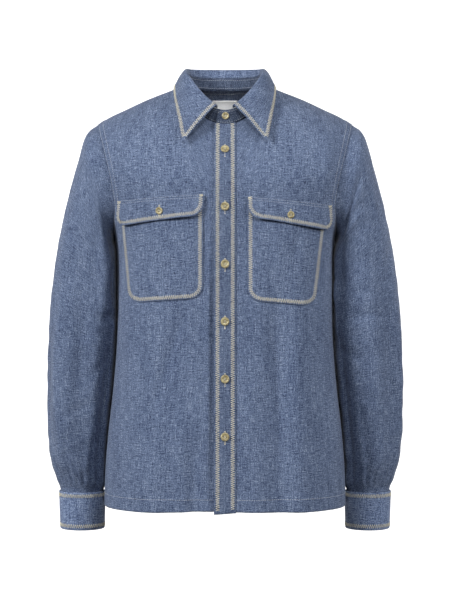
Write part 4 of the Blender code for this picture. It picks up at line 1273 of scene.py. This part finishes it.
def zigzag(points, normals, seed, most=1.0):
    """One cord from side to side of a line. It dips into the cloth at each tooth.

    It is up to `most` times as wide where its sides are turned away from the front.
    """
    rng = np.random.default_rng(seed)
    length = line_length(points)
    strokes = max(2, round(length / (ZIGZAG_PITCH / 2)))
    share = np.array((0.0, 0.15, 0.5, 0.85))
    at = (np.arange(strokes)[:, None] + share[None, :]).reshape(-1)
    at = np.append(at, strokes)
    side = np.where(np.arange(strokes) % 2 == 0, 1.0, -1.0)
    reach = (ZIGZAG_WIDTH / 2 - CORD_R) * (1 + 0.05 * rng.standard_normal(strokes + 1))
    aside = (side[:, None] * (1 - 2 * share[None, :])).reshape(-1)
    aside = np.append(aside, -side[-1]) * np.interp(at, np.arange(strokes + 1), reach)
    slip = 0.06 * ZIGZAG_PITCH * rng.standard_normal(strokes + 1)
    spots = at / strokes * length + np.interp(at, np.arange(strokes + 1), slip)
    high = np.tile(np.array((0.10, 0.62, 0.80, 0.62)), strokes)
    high = np.append(high, 0.10) * CORD_R
    middle, normal = resampled(points, normals, np.clip(spots, 0, length))
    tangent_spots = np.clip(spots, 2 * MM, length - 2 * MM)
    ahead, _ = resampled(points, normals, tangent_spots + 2 * MM)
    behind, _ = resampled(points, normals, tangent_spots - 2 * MM)
    sideways = unit(np.cross(normal, ahead - behind))
    facing = np.linalg.norm(sideways[:, [0, 2]], axis=-1)
    aside = aside * np.clip(1 / np.maximum(facing, 0.1), 1.0, most)
    path = middle + sideways * aside[:, None] + normal * high[:, None]
    return tube(path, normal, CORD_R)


def topstitch(points, normals, radius=THREAD_R):
    """A row of single stitches along a line."""
    length = line_length(points)
    count = max(1, round(length / (STITCH_LENGTH + STITCH_GAP)))
    starts = np.arange(count) * length / count
    share = np.array((0.0, 0.2, 0.5, 0.8, 1.0))
    spots = (starts[:, None] + STITCH_GAP / 2 + share[None, :] * (length / count - STITCH_GAP)).reshape(-1)
    base, out = resampled(points, normals, spots)
    high = np.tile(np.array((-0.4, 0.35, 0.5, 0.35, -0.4)), count) * radius
    base = base + out * high[:, None]
    size = len(share)
    return [tube(base[k : k + size], out[k : k + size], radius, 4) for k in range(0, count * size, size)]


def on_grid(piece, i, j, inside=False):
    """Places on a piece's face at fractional rows and columns, and the way out."""
    grid = piece.inner if inside else piece.outer
    rows, columns = grid.shape[:2]
    i0 = np.clip(np.floor(i).astype(int), 0, rows - 2)
    j0 = np.clip(np.floor(j).astype(int), 0, columns - 2)
    a, b = (i - i0)[:, None], (j - j0)[:, None]

    def blend(g):
        low = g[i0, j0] * (1 - b) + g[i0, j0 + 1] * b
        return low * (1 - a) + (g[i0 + 1, j0] * (1 - b) + g[i0 + 1, j0 + 1] * b) * a

    normals = unit(blend(piece.normals))
    return blend(grid), -normals if inside else normals


def row_line(piece, i, j, inside=False):
    """Places at columns j along a row that wanders: i holds its fractional row at each column."""
    return on_grid(piece, np.interp(j, np.arange(len(i)), i), j, inside)


def column_line(piece, i, j):
    """Places at rows i along a column that wanders: j holds its fractional column at each row."""
    return on_grid(piece, i, np.interp(i, np.arange(len(j)), j))


def inset_rows(piece, distance, from_last=False, inside=False):
    """For each column, the fractional row that lies so far along it from its first or last row."""
    grid = piece.inner if inside else piece.outer
    grid = grid[::-1] if from_last else grid
    along = distances(grid)
    rows = np.arange(len(grid))
    found = np.array([np.interp(distance, along[:, j], rows) for j in range(grid.shape[1])])
    return len(grid) - 1 - found if from_last else found


def inset_columns(piece, distance, from_last=False):
    grid = piece.outer[:, ::-1] if from_last else piece.outer
    along = distances(grid, 1)
    columns = np.arange(grid.shape[1])
    found = np.array([np.interp(distance, along[i], columns) for i in range(len(grid))])
    return grid.shape[1] - 1 - found if from_last else found


def placket_threads():
    piece = CLOTHS["placket"]
    tubes = []
    rows = np.arange(2, len(piece.outer) - 1, 1.0)
    for seed, place in ((21, -0.0120), (22, 0.0124)):
        column_at = (place + PLACKET_HALF) / (2 * PLACKET_HALF) * (piece.outer.shape[1] - 1)
        tubes.append(zigzag(*on_grid(piece, rows, np.full(len(rows), column_at)), seed))
    thread_piece("placket_zigzag", tubes, ECRU)


ROLL_ROW = 8.5  # the collar's row just outside its roll


def collar_threads():
    """Down one front edge, round the rim and up the other."""
    piece = CLOTHS["collar"]
    rim = inset_rows(piece, COLLAR_INSET, from_last=True)
    first = inset_columns(piece, COLLAR_INSET)
    last = inset_columns(piece, COLLAR_INSET, from_last=True)
    low = float(np.interp(first[-2], np.arange(len(rim)), rim))
    i = np.arange(ROLL_ROW, low, 1.0)
    j = np.arange(math.ceil(first[-2]), math.floor(last[-2]) + 1, 1.0)
    lines = column_line(piece, i, first), row_line(piece, rim, j), column_line(piece, i[::-1], last)
    tubes = [zigzag(*line, seed) for seed, line in zip((23, 24, 25), lines)]
    thread_piece("collar_zigzag", tubes, ECRU)


def stand_threads():
    piece = CLOTHS["collar_stand"]
    j = np.arange(1.0, piece.outer.shape[1] - 1)
    tubes = []
    for inside in (False, True):
        for distance, top in ((2.2 * MM, False), (2.6 * MM, True)):
            i = inset_rows(piece, distance, from_last=top, inside=inside)
            tubes += topstitch(*row_line(piece, i, j, inside))
    thread_piece("stand_topstitch", tubes, TONAL)


def cuff_threads(node, side):
    piece = CLOTHS[node]
    tubes = []
    j = np.arange(1.0, piece.outer.shape[1] - 1)
    for seed, top, inset in ((26, True, 5.2 * MM), (27, False, 6.2 * MM)):
        tubes.append(zigzag(*row_line(piece, inset_rows(piece, inset, from_last=top), j), seed + side))
    i = np.arange(5.0, len(piece.outer) - 5)
    outer_end = inset_columns(piece, ZIGZAG_INSET, from_last=side > 0)
    tubes.append(zigzag(*column_line(piece, i, outer_end), 28 + side))
    thread_piece(f"{node}_zigzag", tubes, ECRU)


def patch_outline(patch, inset):
    """From the top of the inner side down, round the bottom and up the outer side, so far in from the edge."""
    side_down = steps(0, 1, 60)
    bottom = patch_columns(patch)
    route = ((0.0, side_down), (bottom, 1.0), (1.0, side_down[::-1]))
    xz = np.concatenate([np.stack(patch_point(patch, *part)[:2], axis=-1) for part in route])
    keep = np.concatenate([[True], np.linalg.norm(np.diff(xz, axis=0), axis=-1) > 1e-6])
    xz = xz[keep]
    along = distances(xz)
    spots = np.linspace(0, along[-1], 300)
    xz = np.stack([np.interp(spots, along, xz[:, k]) for k in range(2)], axis=-1)
    tangent = unit(np.gradient(xz, axis=0))
    for _ in range(4):
        tangent[1:-1] = unit(tangent[1:-1] * 0.5 + (tangent[2:] + tangent[:-2]) * 0.25)
    inward = np.stack([-tangent[:, 1], tangent[:, 0]], axis=-1)
    normal = face_normal(xz[:, 0] * patch.side, xz[:, 1], True) * np.array((patch.side, 1, 1))
    slant = (inward * normal[:, [0, 2]]).sum(axis=-1) / -normal[:, 1]
    return xz + inward * (inset / np.sqrt(1 + slant**2))[:, None]


def on_patch(patch, x, z):
    """A place on a patch's outer face, from its place as seen from the front on the +X side."""
    width = patch.low_outer_x - patch.inner_x
    across = np.clip((x - patch.inner_x) / width, 0, 1)
    top, low = edges_z(patch, across)
    down = (top - z) / (top - low)
    reach = mix(patch.outer_x, patch.low_outer_x, down)
    across = np.clip((x - patch.inner_x) / (reach - patch.inner_x), 0, 1)
    down = np.clip(down, 0, 1)
    off = patch_off(patch, x * patch.side, z, across, down)
    return on_front(x * patch.side, z, off + CLOTH)


MOST_WIDER = 1.35  # how much wider a patch's zigzag may be where its side is turned away
BAR_IN = 3.5 * MM  # bar tacks at a flap's upper corners: from the side, half their length, and down
BAR_HALF = 3.0 * MM
BAR_DROPS = (1.2 * MM, 2.0 * MM, 2.8 * MM)


def patch_threads(patch):
    line = patch_outline(patch, ZIGZAG_INSET - 0.4 * MM)
    tubes = [zigzag(*on_patch(patch, line[:, 0], line[:, 1]), 31 + patch.side, most=MOST_WIDER)]
    if patch in FLAPS:
        for x in (patch.inner_x + BAR_IN, patch.outer_x - BAR_IN):
            across = (x - patch.inner_x) / (patch.outer_x - patch.inner_x)
            top, _ = edges_z(patch, across)
            spots = x + steps(-BAR_HALF, BAR_HALF, 8)
            for drop in BAR_DROPS:
                place, out = on_patch(patch, spots, np.full(len(spots), top - drop))
                tubes.append(tube(place + out * 0.3 * MM, out, CORD_R * 0.85))
    thread_piece(f"{patch.name}_zigzag", tubes, ECRU)


def flap_topstitch(patch):
    across = steps(0.02, 0.98, 80)
    x = mix(patch.inner_x, patch.outer_x, across)
    top, _ = edges_z(patch, across)
    tubes = [stitch for drop in (5.0 * MM, 1.2 * MM) for stitch in topstitch(*on_patch(patch, x, top - drop))]
    thread_piece(f"{patch.name}_topstitch", tubes, TONAL)


# How far rows of topstitching lie from a panel's edges.
SEAM_STITCH = 1.6 * MM
YOKE_STITCHES = (1.8 * MM, 7.5 * MM)
SHOULDER_STITCH = 2.2 * MM
NECK_STITCH = 11.0 * MM


def row_at(piece, z):
    """The fractional row of a panel at a height, for each column."""
    rows = np.arange(len(piece.outer))
    return np.array([np.interp(z, piece.outer[:, j, 2], rows) for j in range(piece.outer.shape[1])])


def panel_threads():
    """Topstitching of the hem, armholes, side seams, yoke and neck."""
    tubes = []
    for node in ("left_front", "right_front", "back"):
        piece = CLOTHS[node]
        columns = piece.outer.shape[1]
        i = row_at(piece, HEM_Z + HEM_BAND - 1.0 * MM)
        j = np.arange(0.5, columns - 1, 1.0)
        if node != "back":
            x = np.abs(piece.outer[0, :, 0])
            j = j[np.interp(j, np.arange(columns), x) > PLACKET_HALF + 1 * MM]
        tubes += topstitch(*row_line(piece, i, j))
    both = (True, False)
    for node, ends in (("left_front", (True,)), ("right_front", (False,)), ("back", both), ("yoke", both)):
        piece = CLOTHS[node]
        i = np.arange(0.5 if node == "yoke" else 8.0, len(piece.outer) - 2.5, 1.0)
        for last in ends:
            for inset in (SEAM_STITCH, SEAM_BAND - SEAM_STITCH):
                tubes += topstitch(*column_line(piece, i, inset_columns(piece, inset, from_last=last)))
    piece = CLOTHS["yoke"]
    j = np.arange(0.5, piece.outer.shape[1] - 1, 1.0)
    for distance in YOKE_STITCHES:
        tubes += topstitch(*row_line(piece, inset_rows(piece, distance), j))
    shoulder = inset_rows(piece, SHOULDER_STITCH, from_last=True)
    x = piece.outer[-1, :, 0]
    for side in (1, -1):
        j = np.flatnonzero(x * side > NECK_HALF + 2 * MM)
        tubes += topstitch(*on_grid(piece, shoulder[j], j.astype(float)))
    neck = inset_rows(piece, NECK_STITCH, from_last=True, inside=True)
    j = np.flatnonzero(np.abs(x) < NECK_HALF - 6 * MM)
    tubes += topstitch(*on_grid(piece, neck[j], j.astype(float), inside=True))
    thread_piece("panel_topstitch", tubes, PALE)


def sleeve_threads(node):
    """Two rows along the seam under the arm, a few columns from the grid's first."""
    piece = CLOTHS[node]
    tubes = []
    i = np.arange(16.0, len(piece.outer) - 3)
    for j in (2.2, 3.6):
        tubes += topstitch(*on_grid(piece, i, np.full(len(i), j)))
    thread_piece(f"{node}_topstitch", tubes, TONAL)


def label_threads():
    piece = CLOTHS["neck_label"]
    rows, columns = piece.outer.shape[:2]
    j = np.arange(1.0, columns - 1)
    tubes = topstitch(*on_grid(piece, np.full(len(j), rows - 2.2), j), radius=FINE_R)
    thread_piece("label_stitch", tubes, ECRU)


# ---------------------------------------------------------------- buttons
HOLE_R = 0.95 * MM
HOLE_SPREAD = 1.55 * MM
DISH = 0.95 * MM  # how far a button's middle lies below its rim
SATIN_PITCH = 0.62 * MM  # of a buttonhole's stitches
BAR_R = 0.32 * MM  # the thread that holds a button


def turned_mesh(name, profile, count):
    """A profile of radii and heights, turned about Z. It starts and ends on the axis."""
    turn = 2 * math.pi * np.arange(count) / count
    points = [(0.0, 0.0, profile[0][1])]
    for r, z in profile[1:-1]:
        points += [(r * math.cos(t), r * math.sin(t), z) for t in turn]
    points.append((0.0, 0.0, profile[-1][1]))
    rings = len(profile) - 2
    faces = [[0, 1 + k, 1 + (k + 1) % count] for k in range(count)]
    for ring in range(rings - 1):
        a, b = 1 + ring * count, 1 + (ring + 1) * count
        faces += [[a + k, b + k, b + (k + 1) % count, a + (k + 1) % count] for k in range(count)]
    last, end = 1 + (rings - 1) * count, len(points) - 1
    faces += [[last + k, end, last + (k + 1) % count] for k in range(count)]
    return new_mesh(name, points, faces)


def button_mesh():
    """A turned, dished button with four holes cut through it."""
    r, h = BUTTON_R, BUTTON_H
    profile = [
        (0.0, h - DISH),
        (r * 0.40, h - 0.90 * MM),
        (r * 0.54, h - 0.72 * MM),
        (r * 0.64, h - 0.25 * MM),
        (r * 0.74, h),
        (r * 0.86, h - 0.05 * MM),
        (r * 0.96, h - 0.50 * MM),
        (r, h * 0.60),
        (r * 0.97, h * 0.42),
        (r * 0.80, 0.10 * MM),
        (r * 0.70, 0.0),
        (0.0, 0.0),
    ]
    button = new_object("button_blank", turned_mesh("button_blank", profile, 44))
    drill_profile = [(0.0, 2 * h), (HOLE_R, 2 * h), (HOLE_R, -h), (0.0, -h)]
    drills = []
    for k in range(4):
        turn = math.radians(45 + 90 * k)
        drill = new_object(f"drill_{k}", turned_mesh(f"drill_{k}", drill_profile, 16))
        drill.location = (HOLE_SPREAD * math.cos(turn), HOLE_SPREAD * math.sin(turn), 0)
        cut = button.modifiers.new(f"hole_{k}", "BOOLEAN")
        cut.operation = "DIFFERENCE"
        cut.object = drill
        drills.append(drill)
    bpy.context.view_layer.update()
    made = bpy.data.meshes.new_from_object(button.evaluated_get(bpy.context.evaluated_depsgraph_get()))
    for old in drills + [button]:
        bpy.data.objects.remove(old)
    made.shade_smooth()
    made.set_sharp_from_angle(angle=math.radians(40))
    return made


def turned_to(normal):
    """The rotation that lays a piece's Z along a normal and keeps its Y as upright as it can."""
    z = Vector(normal).normalized()
    x = Vector((0, 0, 1)).cross(z).normalized()
    y = z.cross(x)
    return np.array((x, y, z))


def make_button(node, blank, place, normal, radius, spin):
    """The button, and the thread that holds it: two bars through its holes."""
    size = radius / BUTTON_R
    turn = turned_to(normal)
    c, s = math.cos(spin), math.sin(spin)
    spun = np.array(((c, s, 0), (-s, c, 0), (0, 0, 1)))
    mesh = blank.copy()
    mesh.name = f"{node}_horn"
    local = np.array([v.co for v in mesh.vertices]) * size
    mesh.vertices.foreach_set("co", (local @ spun @ turn + place).reshape(-1).astype(np.float32))
    mesh.update()
    piece = add_piece(f"{node}_horn", mesh, HORN)
    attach(piece, "root")
    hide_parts(node)
    tubes = []
    top = (BUTTON_H - DISH) * size
    reach = HOLE_SPREAD * size / math.sqrt(2)
    y = reach * np.array((-1.0, -1.0, -0.5, 0.0, 0.5, 1.0, 1.0))
    z = top + np.array((-1.1, 0.0, 0.45, 0.55, 0.45, 0.0, -1.1)) * MM
    for x in (-reach, reach):
        for shift in (-THREAD_R, THREAD_R):
            line = np.stack([np.full(7, x + shift), y, z], axis=-1)
            tubes.append(tube(line @ spun @ turn + place, np.tile(np.array(normal), (7, 1)) + 1e-4, BAR_R))
    return tubes


def buttonhole(place_at, high, low):
    """Close satin stitches down both sides of a slit. place_at gives the cloth at a place across and up."""
    tubes = []
    for side in (-1, 1):
        for up in np.arange(low, high, SATIN_PITCH):
            across = side * np.array((0.25, 0.75, 1.25)) * MM
            place, out = place_at(across, np.full(3, up))
            tubes.append(tube(place + out * np.array((0.05, 0.20, 0.02))[:, None] * MM, out, THREAD_R, 4))
    for up in (low - 0.3 * MM, high + 0.3 * MM):
        for shift in (0.0, 0.5 * MM):
            across = np.array((-1.3, -0.5, 0.5, 1.3)) * MM
            place, out = place_at(across, np.full(4, up + math.copysign(shift, up)))
            tubes.append(tube(place + out * 0.22 * MM, out, THREAD_R, 4))
    return tubes


def make_buttons():
    blank = button_mesh()
    held, holes = [], []
    on_placket = CLOTH + GAP * 2 + 0.3 * MM

    def on_placket_at(x, z):
        return on_front(x, z, np.full(np.shape(x), CLOTH + GAP))

    for k in range(PLACKET_BUTTONS):
        z = FIRST_BUTTON_Z - BUTTON_PITCH * k
        place, normal = on_front(np.array(0.0), np.array(z), np.array(on_placket + GAP))
        held += make_button(f"button_{k + 1}", blank, place, normal, BUTTON_R, 0.4 * k)
        holes += buttonhole(lambda x, up, z=z: on_placket_at(x, z + up), 8.0 * MM, -11.5 * MM)
    place = stand_point(0.6, 0.58, END_LIFT + GAP * 2)
    normal = outward(np.array(0.6))
    held += make_button("collar_button", blank, place, normal, SMALL_BUTTON_R, 0.9)
    for flap, button in zip(FLAPS, POCKET_BUTTONS):
        x, z = np.array(abs(button.x)), np.array(button.z)
        place, normal = on_patch(flap, x, z)
        held += make_button(button.name, blank, place + normal * GAP, normal, SMALL_BUTTON_R, 0.6 + flap.side)
        holes += buttonhole(
            lambda across, up, flap=flap, x=x, z=z: on_patch(flap, x + across, z + up), 8.0 * MM, -8.5 * MM
        )
    for node, side in (("left_cuff_button", 1), ("right_cuff_button", -1)):
        place = cuff_point(0.5, CUFF_OPENING, END_LIFT + GAP * 2)
        normal = unit(place - cuff_point(0.5, CUFF_OPENING, 0.0))
        mirror = np.array((side, 1, 1))
        held += make_button(node, blank, place * mirror, normal * mirror, SMALL_BUTTON_R, 0.3)
    thread_piece("button_thread", held, ECRU)
    thread_piece("buttonholes", holes, ECRU)


# ---------------------------------------------------------------- the shirt
make_fronts()
make_placket()
make_back()
SIDES = (("left", 1, LEFT_SLEEVE_CREASES), ("right", -1, RIGHT_SLEEVE_CREASES))
for name, side, creases in SIDES:
    make_sleeve(f"{name}_sleeve", side, creases)
for name, side, _ in SIDES:
    make_cuff(f"{name}_cuff", side)
make_stand()
make_collar()
for pocket in POCKETS:
    make_patch(pocket, 60)
for flap in FLAPS:
    make_patch(flap, 24)
make_label()

placket_threads()
collar_threads()
stand_threads()
for name, side, _ in SIDES:
    cuff_threads(f"{name}_cuff", side)
for patch in POCKETS + FLAPS:
    patch_threads(patch)
for flap in FLAPS:
    flap_topstitch(flap)
panel_threads()
for name, _, _ in SIDES:
    sleeve_threads(f"{name}_sleeve")
label_threads()
make_buttons()

# What each piece of cloth was cut to: width, length and flat area, in metres, and what it lies on.
Cut = namedtuple("Cut", "node width length area held rests_on")
CUTS = table(
    Cut,
    ("left_front", 0.330, 0.765, 0.1935, "hung", ("yoke_cloth", "right_front_cloth")),
    ("right_front", 0.330, 0.765, 0.1930, "hung", ("yoke_cloth",)),
    ("placket", 0.036, 0.652, 0.0230, "hung", ("left_front_cloth",)),
    ("back", 0.593, 0.664, 0.3120, "hung", ("yoke_cloth",)),
    ("yoke", 0.521, 0.178, 0.0625, "draped", ("collar_stand_cloth",)),
    ("left_sleeve", 0.590, 0.660, 0.2150, "hung", ("left_front_cloth", "back_cloth", "yoke_cloth")),
    ("right_sleeve", 0.590, 0.660, 0.2150, "hung", ("right_front_cloth", "back_cloth", "yoke_cloth")),
    ("left_cuff", 0.275, 0.063, 0.0170, "hung", ("left_sleeve_cloth",)),
    ("right_cuff", 0.275, 0.063, 0.0170, "hung", ("right_sleeve_cloth",)),
    ("collar_stand", 0.517, 0.024, 0.0100, "draped", ("yoke_cloth",)),
    ("collar", 0.610, 0.101, 0.0337, "folded", ("collar_stand_cloth",)),
    ("left_pocket", 0.144, 0.150, 0.0195, "laid", ("left_front_cloth",)),
    ("right_pocket", 0.158, 0.150, 0.0214, "laid", ("right_front_cloth",)),
    ("left_flap", 0.178, 0.043, 0.0059, "hung", ("left_front_cloth", "left_pocket_cloth")),
    ("right_flap", 0.179, 0.043, 0.0060, "hung", ("right_front_cloth", "right_pocket_cloth")),
    ("neck_label", 0.043, 0.033, 0.0014, "hung", ("yoke_cloth",)),
)

# ---------------------------------------------------------------- studio
CAMERA_AWAY = 2.8
CAMERA_Z = -0.36
LENS = 98.8
FLOOR_Z = -0.95
FLOOR_START, FLOOR_END = 0.30, 3.6
SWEEP_R = 1.2
SWEEP_TOP = 4.0
SWEEP_HALF = 6.0


def plain(name, colour, glow):
    made, _, shader = new_material(name)
    white = (1.0, 1.0, 1.0, 1.0)
    set_sockets(shader, Base_Color=(*colour, 1.0), Roughness=0.95, Emission_Color=white, Emission_Strength=glow)
    return made


def make_stage():
    """A pale floor from under the shirt's back, which sweeps up into a backdrop well behind it."""
    turn = np.radians(np.arange(0, 91, 6))
    profile = [(FLOOR_START, FLOOR_Z), (FLOOR_END, FLOOR_Z)]
    profile += [(FLOOR_END + SWEEP_R * math.sin(t), FLOOR_Z + SWEEP_R * (1 - math.cos(t))) for t in turn]
    profile.append((FLOOR_END + SWEEP_R, SWEEP_TOP))
    points = [(x, y, z) for x in (-SWEEP_HALF, SWEEP_HALF) for y, z in profile]
    n = len(profile)
    faces = [[k, k + n, k + n + 1, k + 1] for k in range(n - 1)]
    mesh = new_mesh("sweep", points, faces)
    mesh.shade_smooth()
    sweep = add_piece("sweep", mesh, plain("pale_paper", (0.60, 0.60, 0.60), 0.85))


def aimed_light(name, kind, place, target, power):
    data = bpy.data.lights.new(name, kind)
    data.energy = power
    made = new_object(name, data)
    made.location = place
    made.rotation_mode = "QUATERNION"
    made.rotation_quaternion = (Vector(target) - Vector(place)).to_track_quat("-Z", "Y")
    return data


def area_light(name, place, target, size, power):
    data = aimed_light(name, "AREA", place, target, power)
    data.shape = "DISK"
    data.size = size


def spot_light(name, place, target, degrees, power):
    data = aimed_light(name, "SPOT", place, target, power)
    data.spot_size = math.radians(degrees)
    data.spot_blend = 1.0
    data.shadow_soft_size = 0.03


make_stage()
world = bpy.data.worlds.new("studio")
bpy.context.scene.world = world
world.use_nodes = True
set_sockets(world.node_tree.nodes["Background"], Color=(1.0, 1.0, 1.0, 1.0), Strength=0.13)
area_light("left_key", (-3.0, -2.2, 1.1), (0, 0, -0.35), 1.2, 150.0)
area_light("right_key", (3.1, -2.0, 0.9), (0, 0, -0.35), 1.4, 85.0)
area_light("front_top", (0.1, -3.3, 1.7), (0, 0, -0.1), 1.0, 48.0)
spot_light("neck_spot", (0.0, -1.8, 0.66), (0.0, 0.050, -0.022), 3.0, 225.0)
bpy.context.scene.view_settings.view_transform = "Standard"

camera_data = bpy.data.cameras.new("camera")
camera_data.lens = LENS
camera_data.sensor_width = 36.0
camera = new_object("camera", camera_data)
camera.location = (0.0, -CAMERA_AWAY, CAMERA_Z)
camera.rotation_euler = (math.radians(90), 0.0, 0.0)
bpy.context.scene.camera = camera
